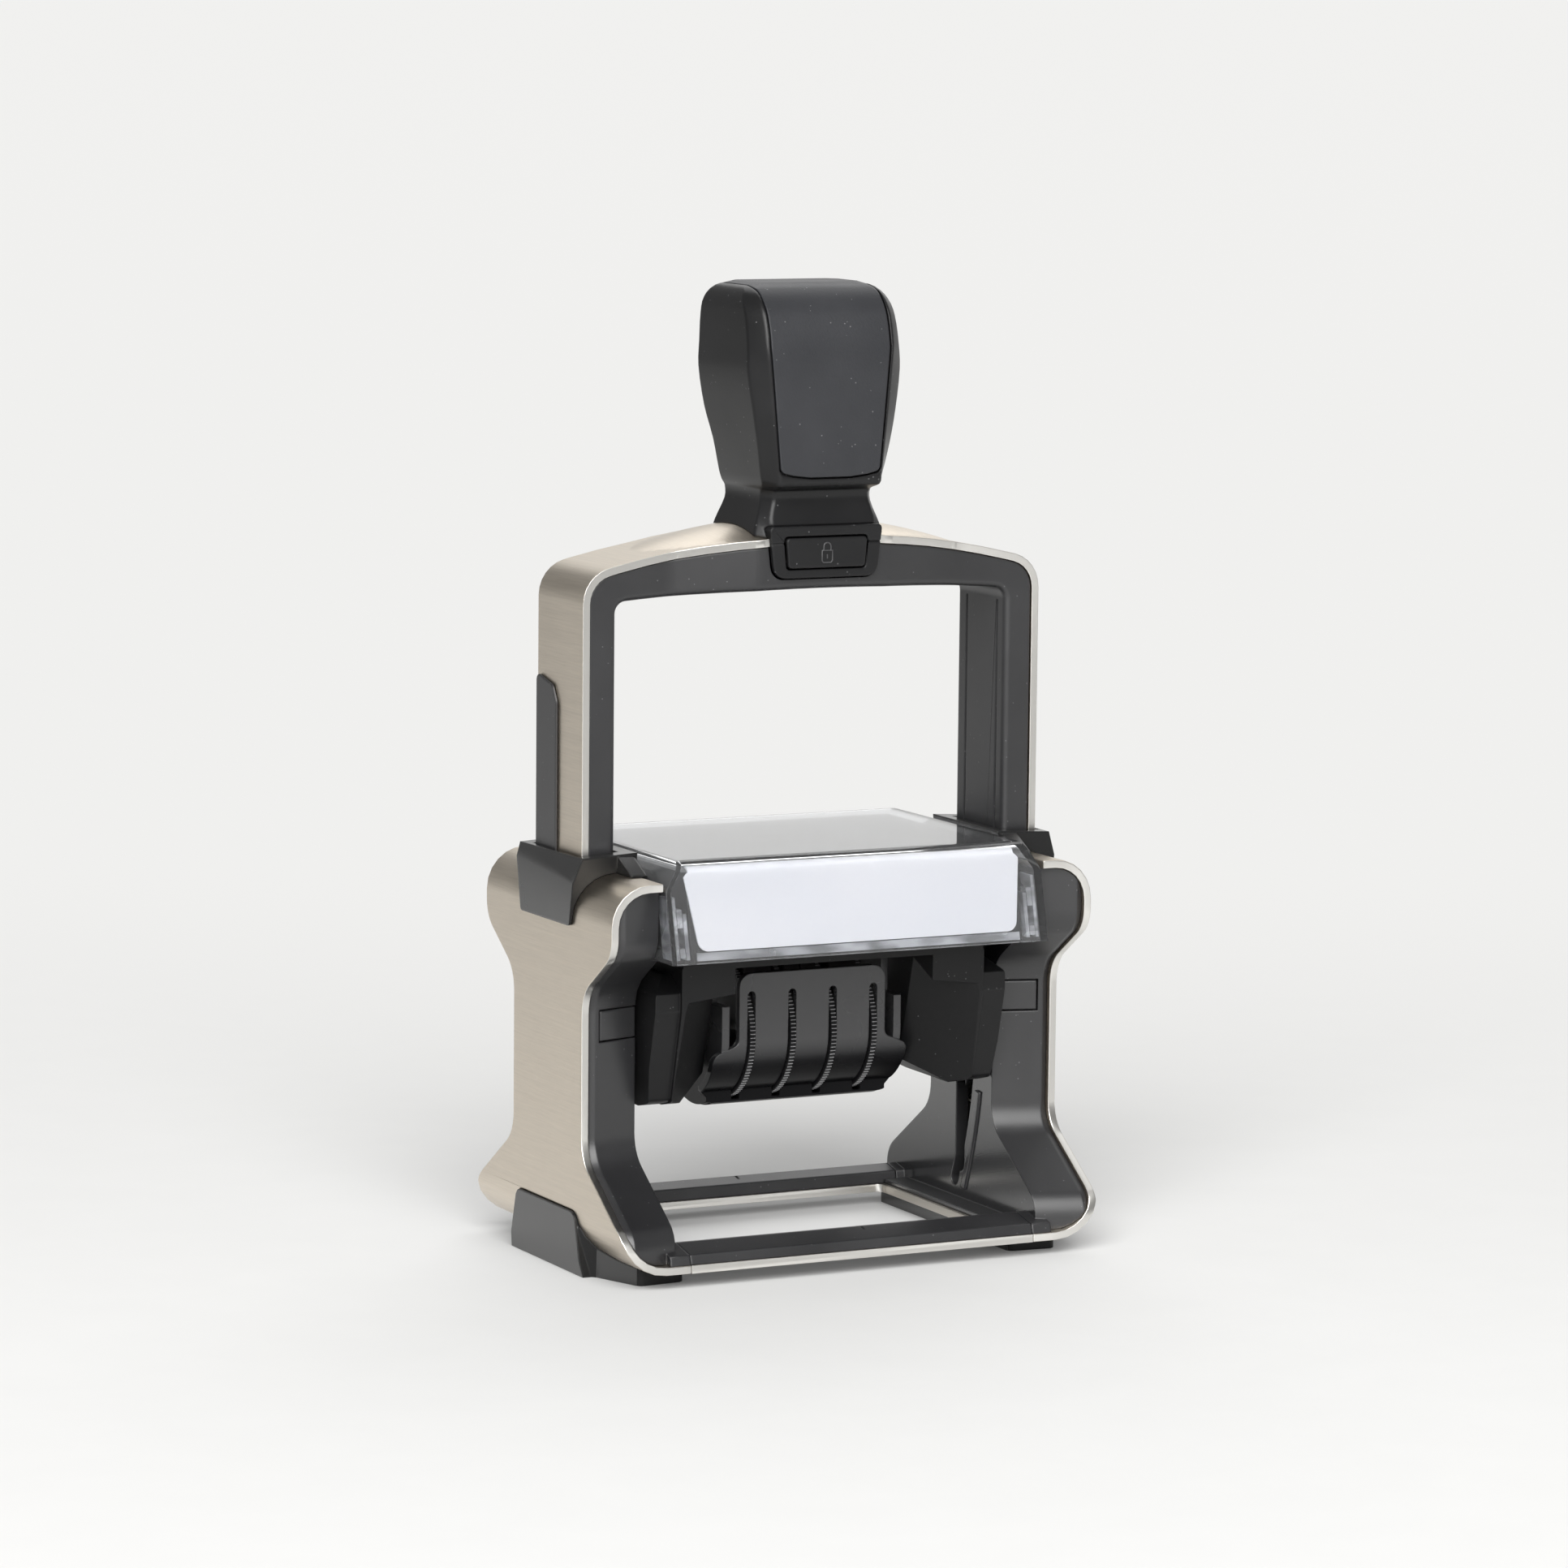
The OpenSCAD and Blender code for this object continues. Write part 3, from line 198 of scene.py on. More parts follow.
def step(tree, value, start, end, low=0.0, high=1.0):
    """Smooth step from low at start to high at end."""
    n = tree.nodes.new("ShaderNodeMapRange")
    n.interpolation_type = "SMOOTHSTEP"
    n.inputs["From Min"].default_value = min(start, end)
    n.inputs["From Max"].default_value = max(start, end)
    n.inputs["To Min"].default_value = low if start < end else high
    n.inputs["To Max"].default_value = high if start < end else low
    tree.links.new(value, n.inputs["Value"])
    return n.outputs["Result"]


# Shared shader node groups

def new_group(name, inputs, outputs):
    group = bpy.data.node_groups.new(name, "ShaderNodeTree")
    for label, kind, value in inputs:
        socket = group.interface.new_socket(label, in_out="INPUT", socket_type=kind)
        socket.default_value = value
    for label, kind in outputs:
        group.interface.new_socket(label, in_out="OUTPUT", socket_type=kind)
    return group, group.nodes.new("NodeGroupInput"), group.nodes.new("NodeGroupOutput")


def make_brush_group():
    """Brushed sheet: fine strokes along Y, a value for the tone and a height for the bump."""
    group, source, target = new_group(
        "brushed_strokes",
        [("Stroke length", "NodeSocketFloat", 1.0)],
        [("Tone", "NodeSocketFloat"), ("Height", "NodeSocketFloat")])
    place = coordinates(group, "Object")
    fine = noise_node(group, stretched(group, place, (2600, 90, 2600)), 1.0, 4.0, 0.65)
    medium = noise_node(group, stretched(group, place, (700, 22, 700)), 1.0, 3.0, 0.6)
    cloud = noise_node(group, place, 45.0, 2.0)
    both = math_node(group, "ADD", math_node(group, "MULTIPLY", fine, 0.6),
                     math_node(group, "MULTIPLY", medium, 0.4))
    height = math_node(group, "MULTIPLY", both, source.outputs["Stroke length"])
    tone = math_node(group, "ADD", math_node(group, "MULTIPLY", both, 0.75),
                     math_node(group, "MULTIPLY", cloud, 0.25))
    group.links.new(tone, target.inputs["Tone"])
    group.links.new(height, target.inputs["Height"])
    return group


def make_grain_group():
    """Spark-eroded moulding grain: a fine height, a slow mottling and a mask of sparse dust specks."""
    group, source, target = new_group(
        "moulded_grain",
        [("Grain size", "NodeSocketFloat", 3200.0)],
        [("Height", "NodeSocketFloat"), ("Mottle", "NodeSocketFloat"), ("Specks", "NodeSocketFloat")])
    place = coordinates(group, "Object")
    fine = group.nodes.new("ShaderNodeTexNoise")
    fine.inputs["Detail"].default_value = 2.0
    group.links.new(place, fine.inputs["Vector"])
    group.links.new(source.outputs["Grain size"], fine.inputs["Scale"])
    mottle = noise_node(group, place, 60.0, 3.0)
    cells = group.nodes.new("ShaderNodeTexVoronoi")
    cells.inputs["Scale"].default_value = 900.0
    group.links.new(place, cells.inputs["Vector"])
    near = math_node(group, "LESS_THAN", cells.outputs["Distance"], 0.12)
    few = math_node(group, "GREATER_THAN", noise_node(group, place, 420.0, 1.0), 0.58)
    group.links.new(fine.outputs["Fac"], target.inputs["Height"])
    group.links.new(mottle, target.inputs["Mottle"])
    group.links.new(math_node(group, "MULTIPLY", near, few), target.inputs["Specks"])
    return group


def make_edge_group():
    """Normal of a face whose edges look rounded by the radius."""
    group, source, target = new_group(
        "rounded_edges", [("Radius", "NodeSocketFloat", 0.0003)], [("Normal", "NodeSocketVector")])
    edge = group.nodes.new("ShaderNodeBevel")
    edge.samples = 6
    group.links.new(source.outputs["Radius"], edge.inputs["Radius"])
    group.links.new(edge.outputs["Normal"], target.inputs["Normal"])
    return group


BRUSH = make_brush_group()
GRAIN = make_grain_group()
EDGES = make_edge_group()


def use_group(tree, group, **values):
    n = tree.nodes.new("ShaderNodeGroup")
    n.node_tree = group
    for key, value in values.items():
        n.inputs[key.replace("_", " ")].default_value = value
    return n


def bump(tree, height, strength, distance, edge=0.0):
    """Normal from a height; edge is the radius, in millimetres, by which the edges look rounded."""
    n = tree.nodes.new("ShaderNodeBump")
    n.inputs["Strength"].default_value = strength
    n.inputs["Distance"].default_value = distance
    tree.links.new(height, n.inputs["Height"])
    if edge > 0:
        rounded = use_group(tree, EDGES, Radius=edge * MM).outputs["Normal"]
        tree.links.new(rounded, n.inputs["Normal"])
    return n.outputs["Normal"]


# Finishes

ALONG_X, ALONG_Y = (1.0, 0.0, 0.0), (0.0, 1.0, 0.0)
FRONT_LIMIT, WALL_LIMIT = 0.55, 0.8
CUT_EDGE, CUT_EDGE_ROUGH, CUT_EDGE_STROKES = (0.80, 0.785, 0.75), 0.28, 0.06
STROKE_DEPTH, GRAIN_DEPTH = 0.00008, 0.00006
DUST = (0.32, 0.32, 0.33)
# painted shade: the near-black colour the housing turns to towards its bottom
LOW_SHADE = (0.0015, 0.0015, 0.002)
# painted highlight on the teeth of the wheels
TIP_HIGHLIGHT = (0.42, 0.42, 0.43)
ACRYLIC_IOR = 1.49


def new_material(name):
    m = bpy.data.materials.new(name)
    m.use_nodes = True
    tree = m.node_tree
    return m, tree, tree.nodes["Principled BSDF"]


def brushed_steel(name, dark, light, rough, strength):
    """Brushed sheet whose cut edges, the faces that look along Y, are brighter and smoother."""
    m, tree, p = new_material(name)
    strokes = use_group(tree, BRUSH)
    edge = facing(tree, ALONG_Y, FRONT_LIMIT)
    tone = ramp(tree, strokes.outputs["Tone"], [(0.32, dark), (0.68, light)])
    tree.links.new(mixed(tree, edge, tone, CUT_EDGE), p.inputs["Base Color"])
    p.inputs["Metallic"].default_value = 1.0
    sheet = math_node(tree, "SUBTRACT", 1.0, math_node(tree, "MULTIPLY", edge, 1.0 - CUT_EDGE_STROKES))
    strewn = spread(tree, strokes.outputs["Tone"], rough - 0.06, rough + 0.08)
    on_edge = math_node(tree, "MULTIPLY", edge, CUT_EDGE_ROUGH)
    tree.links.new(math_node(tree, "ADD", math_node(tree, "MULTIPLY", strewn, sheet), on_edge),
                   p.inputs["Roughness"])
    p.inputs["Anisotropic"].default_value = 0.78
    tangent = tree.nodes.new("ShaderNodeTangent")
    tangent.direction_type = "RADIAL"
    tangent.axis = "Y"
    tree.links.new(tangent.outputs["Tangent"], p.inputs["Tangent"])
    height = math_node(tree, "MULTIPLY", strokes.outputs["Height"], sheet)
    tree.links.new(bump(tree, height, strength, STROKE_DEPTH, 0.2), p.inputs["Normal"])
    return m


def moulded(name, dark, light, rough, strength, grain=3200.0, specular=0.5, edge=0.3, dust=0.0, dull=0.0):
    """Moulded plastic: mottled tone, fine grain, edges that catch the light.

    dust is the share of the specks that shows, dull is what the front faces lose in gloss.
    """
    m, tree, p = new_material(name)
    g = use_group(tree, GRAIN, Grain_size=grain)
    tone = ramp(tree, g.outputs["Mottle"], [(0.3, dark), (0.7, light)])
    if dust > 0:
        tone = mixed(tree, math_node(tree, "MULTIPLY", g.outputs["Specks"], dust), tone, DUST)
    tree.links.new(tone, p.inputs["Base Color"])
    tree.links.new(spread(tree, g.outputs["Mottle"], rough - 0.04, rough + 0.05), p.inputs["Roughness"])
    p.inputs["Specular IOR Level"].default_value = specular
    if dull > 0:
        loss = math_node(tree, "MULTIPLY", facing(tree, ALONG_Y, FRONT_LIMIT), dull)
        tree.links.new(math_node(tree, "SUBTRACT", specular, loss), p.inputs["Specular IOR Level"])
    tree.links.new(bump(tree, g.outputs["Height"], strength, GRAIN_DEPTH, edge), p.inputs["Normal"])
    return m


def polished_walls(name, dark, light, rough, strength, wall_rough, wall_specular, **looks):
    """Moulded plastic whose faces that look along X, rubbed by what slides past them, are glossier."""
    m = moulded(name, dark, light, rough, strength, **looks)
    tree = m.node_tree
    p = tree.nodes["Principled BSDF"]
    wall = facing(tree, ALONG_X, WALL_LIMIT)
    grain_rough = p.inputs["Roughness"].links[0].from_socket
    elsewhere = math_node(tree, "MULTIPLY", grain_rough, math_node(tree, "SUBTRACT", 1.0, wall))
    tree.links.new(math_node(tree, "ADD", elsewhere, math_node(tree, "MULTIPLY", wall, wall_rough)),
                   p.inputs["Roughness"])
    shine = math_node(tree, "MULTIPLY", wall, wall_specular - looks["specular"])
    tree.links.new(math_node(tree, "ADD", shine, looks["specular"]), p.inputs["Specular IOR Level"])
    return m


def shaded_below(name, dark, light, rough, specular, low, high):
    """Satin plastic darkened below by painted shade: full tone above height high, little of it below low
    (mm).
    """
    m = moulded(name, dark, light, rough, 0.08, specular=specular)
    tree = m.node_tree
    p = tree.nodes["Principled BSDF"]
    height = weighed(tree, coordinates(tree, "Object"), (0.0, 0.0, 1.0 / MM))
    # painted shade: colour and gloss fade towards the bottom of the housing
    unshaded = step(tree, height, low, high, 0.12, 1.0)
    tone = p.inputs["Base Color"].links[0].from_socket
    tree.links.new(mixed(tree, unshaded, LOW_SHADE, tone), p.inputs["Base Color"])
    tree.links.new(math_node(tree, "MULTIPLY", unshaded, specular), p.inputs["Specular IOR Level"])
    return m


def bright_tips(name, dark, light, centre, radius):
    """Dark wheels whose teeth carry a painted highlight, bright beyond a radius round the wheel axle (mm)."""
    m = moulded(name, dark, light, 0.34, 0.08, specular=0.7, edge=0.0)
    tree = m.node_tree
    p = tree.nodes["Principled BSDF"]
    place = coordinates(tree, "Object")
    y = math_node(tree, "SUBTRACT", weighed(tree, place, (0.0, 1.0 / MM, 0.0)), centre[0])
    z = math_node(tree, "SUBTRACT", weighed(tree, place, (0.0, 0.0, 1.0 / MM)), centre[1])
    squares = math_node(tree, "ADD", math_node(tree, "MULTIPLY", y, y), math_node(tree, "MULTIPLY", z, z))
    away = math_node(tree, "POWER", squares, 0.5)
    tone = p.inputs["Base Color"].links[0].from_socket
    # painted highlight: the teeth are coloured bright beyond the radius
    tip = step(tree, away, radius - 0.12, radius)
    tree.links.new(mixed(tree, tip, tone, TIP_HIGHLIGHT), p.inputs["Base Color"])
    return m


def frosted(name):
    """Clear plastic seen edge on: cloudy, with paler and darker patches."""
    m, tree, p = new_material(name)
    g = use_group(tree, GRAIN, Grain_size=600.0)
    patches = noise_node(tree, stretched(tree, coordinates(tree, "Object"), (160, 160, 420)), 1.0, 1.0)
    tone = ramp(tree, patches, [(0.36, (0.2, 0.205, 0.215)), (0.66, (0.56, 0.57, 0.6))])
    tree.links.new(tone, p.inputs["Base Color"])
    p.inputs["Transmission Weight"].default_value = 0.25
    p.inputs["IOR"].default_value = ACRYLIC_IOR
    tree.links.new(spread(tree, g.outputs["Mottle"], 0.2, 0.35), p.inputs["Roughness"])
    return m


def clear_plastic(name):
    """Clear sheet with slight waves."""
    m, tree, p = new_material(name)
    g = use_group(tree, GRAIN, Grain_size=90.0)
    tone = ramp(tree, g.outputs["Mottle"], [(0.3, (0.955, 0.965, 0.985)), (0.7, (0.975, 0.98, 0.995))])
    tree.links.new(tone, p.inputs["Base Color"])
    p.inputs["Transmission Weight"].default_value = 0.97
    p.inputs["IOR"].default_value = ACRYLIC_IOR
    tree.links.new(spread(tree, g.outputs["Mottle"], 0.015, 0.04), p.inputs["Roughness"])
    tree.links.new(bump(tree, g.outputs["Mottle"], 0.05, 0.0002), p.inputs["Normal"])
    return m


def paper(name):
    m, tree, p = new_material(name)
    g = use_group(tree, GRAIN, Grain_size=1500.0)
    tone = ramp(tree, g.outputs["Mottle"], [(0.3, (0.75, 0.755, 0.785)), (0.7, (0.77, 0.775, 0.805))])
    tree.links.new(tone, p.inputs["Base Color"])
    p.inputs["Roughness"].default_value = 0.55
    tree.links.new(bump(tree, g.outputs["Height"], 0.1, 0.00005), p.inputs["Normal"])
    return m


WHEEL_AXLE, WHEEL_R = (1.5, 40.5), 12.7
# heights (mm) between which the painted shade on the housing fades in
SHADE_LOW, SHADE_HIGH = 33.0, 40.0

STEEL = brushed_steel("steel_brushed", (0.68, 0.61, 0.515), (0.85, 0.77, 0.66), 0.38, 0.4)
PLATE_STEEL = brushed_steel("steel_plate", (0.52, 0.49, 0.44), (0.68, 0.64, 0.58), 0.36, 0.3)
PIN_STEEL = brushed_steel("steel_pins", (0.55, 0.55, 0.54), (0.7, 0.7, 0.69), 0.25, 0.15)
BLACK = moulded("plastic_black", (0.019, 0.019, 0.0205), (0.026, 0.026, 0.0275), 0.38, 0.16,
                specular=0.8, edge=0.45, dust=0.25)
# a darker copy of the black plastic: painted shade on the bail and the rails
BAIL_BLACK_SHADED = moulded("plastic_black_bail_shaded", (0.017, 0.017, 0.0185), (0.023, 0.023, 0.0247), 0.38, 0.16,
                     specular=0.72, edge=0.45, dust=0.25)
FRAME_BLACK = polished_walls("plastic_black_frame", (0.0165, 0.0165, 0.018), (0.0225, 0.0225, 0.024),
                             0.38, 0.16, wall_rough=0.16, wall_specular=1.6,
                             specular=0.8, edge=0.45, dust=0.25)
# a much darker copy of the black plastic: painted shade on the parts deep inside
SHADED_INNER_BLACK = moulded("plastic_black_inner_shaded", (0.0045, 0.0045, 0.005), (0.007, 0.007, 0.0075), 0.4, 0.16,
                      specular=0.32, edge=0.35, dust=0.2)
HOUSING_BLACK = shaded_below("plastic_black_satin", (0.026, 0.026, 0.0275), (0.032, 0.032, 0.034), 0.26, 0.8,
                        SHADE_LOW, SHADE_HIGH)
CORE_BLACK = moulded("plastic_black_core", (0.009, 0.009, 0.0095), (0.013, 0.013, 0.014), 0.32, 0.1,
                     specular=0.36, edge=0.5, dust=0.3)
GREY = moulded("plastic_charcoal", (0.015, 0.015, 0.0152), (0.020, 0.020, 0.0203), 0.23, 0.16,
               specular=1.0, edge=0.5, dull=0.82)
LIFTED = moulded("plastic_raised_mark", (0.05, 0.05, 0.052), (0.065, 0.065, 0.068), 0.38, 0.1, specular=0.7)
WHEEL = bright_tips("plastic_wheels", (0.010, 0.010, 0.0105), (0.015, 0.015, 0.016), WHEEL_AXLE, WHEEL_R)
FROST = frosted("plastic_clear_edge")
GRIP = moulded("grip_soft", (0.023, 0.024, 0.0275), (0.031, 0.032, 0.0365), 0.46, 0.5,
               grain=2200.0, edge=0.4, dust=0.35)
CLEAR = clear_plastic("plastic_clear")
CARD = paper("card_white")
RUBBER = moulded("rubber_red", (0.22, 0.055, 0.04), (0.3, 0.08, 0.06), 0.6, 0.25)
BAND_RUBBER = moulded("rubber_dark", (0.018, 0.016, 0.016), (0.026, 0.023, 0.023), 0.6, 0.25)
FELT = moulded("felt_inked", (0.008, 0.008, 0.02), (0.016, 0.016, 0.035), 0.85, 0.9, grain=1400.0)


# Pieces that stand for CAD nodes: welded, with softened edges and smooth curved faces

FLAT_ANGLE, SHARP_ANGLE, SMOOTH_ANGLE = 0.4, 30.0, 28.0


def softened(node, material, width=0.25, smooth=SMOOTH_ANGLE, wide=None):
    """A copy of the node with its edges rounded by width millimetres.

    wide is a second width with the test of an edge's middle that tells which edges get it.
    """
    bm = welded_copy(node)
    bmesh.ops.dissolve_limit(bm, angle_limit=math.radians(FLAT_ANGLE), verts=bm.verts, edges=bm.edges)
    weight = bm.edges.layers.float.new("bevel_weight_edge")
    most = max(width, wide[0]) if wide else width
    for e in bm.edges:
        if most > 0 and len(e.link_faces) == 2 and e.calc_face_angle(0.0) > math.radians(SHARP_ANGLE):
            middle = (e.verts[0].co + e.verts[1].co) / 2 / MM
            e[weight] = wide[0] / most if wide and wide[1](middle) else width / most
    obj = new_object("vis_" + node, new_mesh("vis_" + node, bm))
    if most > 0:
        bevel = obj.modifiers.new("edges", "BEVEL")
        bevel.width = most * MM
        bevel.segments = 4 if wide else 2
        bevel.limit_method = "WEIGHT"
        bevel.miter_outer = "MITER_ARC"
        bevel.use_clamp_overlap = wide is None
        obj.data = plain_mesh(obj)
        obj.modifiers.clear()
    shade_by_angle(obj.data, smooth)
    weights = obj.modifiers.new("normals", "WEIGHTED_NORMAL")
    weights.keep_sharp = True
    obj.data.materials.clear()
    obj.data.materials.append(material)
    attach(obj, nodes[node]["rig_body"])
    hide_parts(node)
    return obj


LOOKS = [
    (STEEL, 0.22, ["left_band", "right_band", "bail_band"]),
    (PLATE_STEEL, 0.15, ["base_plate", "text_plate"]),
    (PIN_STEEL, 0.12, ["base_screws", "handle_screws", "wheel_axle", "left_axle_pin", "right_axle_pin",
                       "left_cam_pin", "right_cam_pin"]),
    (FRAME_BLACK, 0.3, ["left_side_frame", "right_side_frame"]),
    (BLACK, 0.3, ["side_tabs"]),
    (BAIL_BLACK_SHADED, 0.3, ["front_rail", "rear_rail"]),
    (BLACK, 0.25, ["left_guide_rail", "right_guide_rail"]),
    (CORE_BLACK, 0.25, ["handle_core", "lock_bezel", "lock_button"]),
    (SHADED_INNER_BLACK, 0.3, ["pad_housing", "die_carrier", "cartridge_tray"]),
    (HOUSING_BLACK, 0.2, ["band_housing"]),
    (SHADED_INNER_BLACK, 0.2, ["band_nose"]),
    (WHEEL, 0.0, ["month_wheel", "day_tens_wheel", "day_units_wheel", "year_wheel"]),
    (GREY, 0.35, ["left_foot", "right_foot", "left_collar", "right_collar"]),
    (GRIP, 0.3, ["grip_inlay"]),
    (CLEAR, 0.2, ["index_cover"]),
    (CARD, 0.0, ["index_card"]),
    (BAND_RUBBER, 0.12, ["month_band", "day_tens_band", "day_units_band", "year_band"]),
]
for material, width, names in LOOKS:
    for name in names:
        softened(name, material, width)


# Bail: a wide rounding round its window

LEG_IN, BEAM_LOW, BEAM_CROWN, BAIL_FACE, NEAR = 39.48, 120.9, 1.7, 9.2, 0.05
WINDOW_ROUNDING = 1.2


def window_edge(middle):
    """Edges of the bail's window on the front and rear faces of the legs and of the beam."""
    on_leg = abs(abs(middle.x) - LEG_IN) < NEAR
    under_beam = abs(middle.x) < LEG_IN + NEAR and middle.z < BEAM_LOW + BEAM_CROWN
    return (on_leg or under_beam) and abs(middle.y) > BAIL_FACE


softened("bail_frame", BAIL_BLACK_SHADED, 0.25, wide=(WINDOW_ROUNDING, window_edge))


# Return springs


def spring(node):
    """A return spring: the node copied in pin steel, with smooth shading and a mesh of its own."""
    obj = softened(node, PIN_STEEL, 0.0, smooth=80.0)
    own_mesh(obj)


for name in ("left_spring", "right_spring"):
    spring(name)


# Ink pad

def felt_pad():
    """A felt block with a slightly drawn-in side and a crowned printing face."""
    low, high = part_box("ink_pad")
    centre, half = (low + high) / 2, (high - low) / 2
    cuts, crown_height, waist = 12, 0.12 * MM, 0.006
    share = Vector((0.998, 0.998, 0.94))
    bm = bmesh.new()
    bmesh.ops.create_cube(bm, size=1.0)
    bmesh.ops.subdivide_edges(bm, edges=bm.edges, cuts=cuts, use_grid_fill=True)
    for v in bm.verts:
        x, y, z = v.co * 2
        crown = crown_height * (1 - x ** 4) * (1 - y ** 4) if z < -0.9 else 0.0
        pull = 1 - waist * (1 - z * z)
        v.co = Vector((centre.x + x * half.x * pull * share.x,
                       centre.y + y * half.y * pull * share.y,
                       centre.z + z * half.z * share.z - crown))
    obj = new_object("vis_ink_pad", new_mesh("vis_ink_pad", bm))
    obj.data.materials.append(FELT)
    shade_by_angle(obj.data, 35.0)
    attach(obj, "ink_cartridge")
    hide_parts("ink_pad")


felt_pad()


# Raised type of the rubber die

TYPE_INPUTS = (
    ("Sheet", "NodeSocketGeometry"), ("Columns", "NodeSocketInt"), ("Rows", "NodeSocketInt"),
    ("Width", "NodeSocketFloat"), ("Depth", "NodeSocketFloat"), ("Height", "NodeSocketFloat"),
    ("Letter", "NodeSocketVector"), ("Date half", "NodeSocketFloat"), ("Word gaps", "NodeSocketFloat"),
    ("Seed", "NodeSocketInt"), ("Rubber", "NodeSocketMaterial"),
)
NARROWEST, WIDEST = (0.55, 1.0, 1.0), (1.1, 1.0, 1.0)


def make_type_tree():
    """Rows of raised type on a rubber sheet, with gaps between words and a clear band for the date."""
    tree = bpy.data.node_groups.new("raised_type", "GeometryNodeTree")
    for label, kind in TYPE_INPUTS:
        tree.interface.new_socket(label, in_out="INPUT", socket_type=kind)
    tree.interface.new_socket("Die", in_out="OUTPUT", socket_type="NodeSocketGeometry")

    def add(kind, **links):
        n = tree.nodes.new(kind)
        for key, source in links.items():
            tree.links.new(source, n.inputs[key.replace("_", " ")])
        return n

    given = add("NodeGroupInput").outputs
    grid = add("GeometryNodeMeshGrid", Size_X=given["Width"], Size_Y=given["Depth"],
               Vertices_X=given["Columns"], Vertices_Y=given["Rows"])
    place = add("ShaderNodeSeparateXYZ", Vector=add("GeometryNodeInputPosition").outputs["Position"])
    away = math_node(tree, "ABSOLUTE", place.outputs["Y"])
    in_date = math_node(tree, "LESS_THAN", away, given["Date half"])
    gap = add("FunctionNodeRandomValue", Seed=given["Seed"])
    gap.data_type = "BOOLEAN"
    tree.links.new(given["Word gaps"], gap.inputs["Probability"])
    bare = math_node(tree, "MAXIMUM", in_date, gap.outputs[3])
    kept = add("GeometryNodeDeleteGeometry", Geometry=grid.outputs["Mesh"], Selection=bare)
    rise = add("ShaderNodeCombineXYZ", Z=given["Height"])
    lifted = add("GeometryNodeSetPosition", Geometry=kept.outputs["Geometry"], Offset=rise.outputs["Vector"])
    narrow = add("FunctionNodeRandomValue", Seed=given["Seed"])
    narrow.data_type = "FLOAT_VECTOR"
    narrow.inputs[0].default_value = NARROWEST
    narrow.inputs[1].default_value = WIDEST
    letter = add("GeometryNodeMeshCube", Size=given["Letter"])
    type_rows = add("GeometryNodeInstanceOnPoints", Points=lifted.outputs["Geometry"],
                    Instance=letter.outputs["Mesh"], Scale=narrow.outputs[0])
    real = add("GeometryNodeRealizeInstances", Geometry=type_rows.outputs["Instances"])
    both = add("GeometryNodeJoinGeometry", Geometry=real.outputs["Geometry"])
    tree.links.new(given["Sheet"], both.inputs["Geometry"])
    rubber = add("GeometryNodeSetMaterial", Geometry=both.outputs["Geometry"], Material=given["Rubber"])
    add("NodeGroupOutput", Die=rubber.outputs["Geometry"])
    return tree


def rubber_die():
    """The text die: its sheet lies lower than the printing face by the relief of the type."""
    low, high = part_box("text_die")
    relief, root = 0.9 * MM, 0.1 * MM
    bm = welded_copy("text_die")
    for v in bm.verts:
        if v.co.z > (low.z + high.z) / 2:
            v.co.z -= relief
    obj = new_object("vis_text_die", new_mesh("vis_text_die", bm))
    values = {
        "Columns": 28, "Rows": 11, "Width": 54 * MM, "Depth": 33 * MM, "Height": high.z - (relief + root) / 2,
        "Letter": (1.5 * MM, 2.3 * MM, relief + root), "Date half": 5.2 * MM, "Word gaps": 0.16, "Seed": 7,
        "Rubber": RUBBER,
    }
    rows = obj.modifiers.new("type", "NODES")
    rows.node_group = make_type_tree()
    for socket in rows.node_group.interface.items_tree:
        if socket.in_out == "INPUT" and socket.name in values:
            rows[socket.identifier] = values[socket.name]
    obj.data = plain_mesh(obj)
    obj.modifiers.clear()
    shade_by_angle(obj.data, SMOOTH_ANGLE)
    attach(obj, nodes["text_die"]["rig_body"])
    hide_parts("text_die")


rubber_die()


# Clear cover: the cloudy edges behind its front and the upper edge of the card

COVER_SLOPE, COVER_INSIDE = 0.24, 1.38
LIP_HALF, LIP_LOW, LIP_HIGH, LIP_DEPTH = 32.6, 0.3, 1.7, 0.3
END_RIBS = [
    # distances of both faces from the cover's end, heights of both ends over its foot, depth
    (1.95, 1.4, 0.6, 11.6, 4.0),
    (3.9, 3.2, 0.6, 8.6, 3.0),
    (3.1, 2.05, 6.2, 9.4, 2.2),
    (3.1, 2.05, 1.0, 2.6, 2.2),
]


def cover_edges():
    """Ribs and a lower lip behind the front of the cover, leaning with it."""
    low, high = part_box("index_cover")
    half, foot, inside = high.x / MM, low.z / MM, low.y / MM + COVER_INSIDE
    blocks = [(-LIP_HALF, LIP_HALF, LIP_LOW, LIP_HIGH, LIP_DEPTH)]
    for side in (-1, 1):
        for far, near, z0, z1, depth in END_RIBS:
            x0, x1 = sorted((side * (half - far), side * (half - near)))
            blocks.append((x0, x1, z0, z1, depth))
    bm = bmesh.new()
    for x0, x1, z0, z1, depth in blocks:
        cube = bmesh.ops.create_cube(bm, size=1.0)
        for v in cube["verts"]:
            z = z0 if v.co.z < 0 else z1
            front = inside + COVER_SLOPE * z
            v.co = Vector((x0 if v.co.x < 0 else x1, front if v.co.y < 0 else front + depth, foot + z)) * MM
    obj = new_object("vis_cover_edges", new_mesh("vis_cover_edges", bm))
    obj.data.materials.append(FROST)
    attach(obj, nodes["index_cover"]["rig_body"])


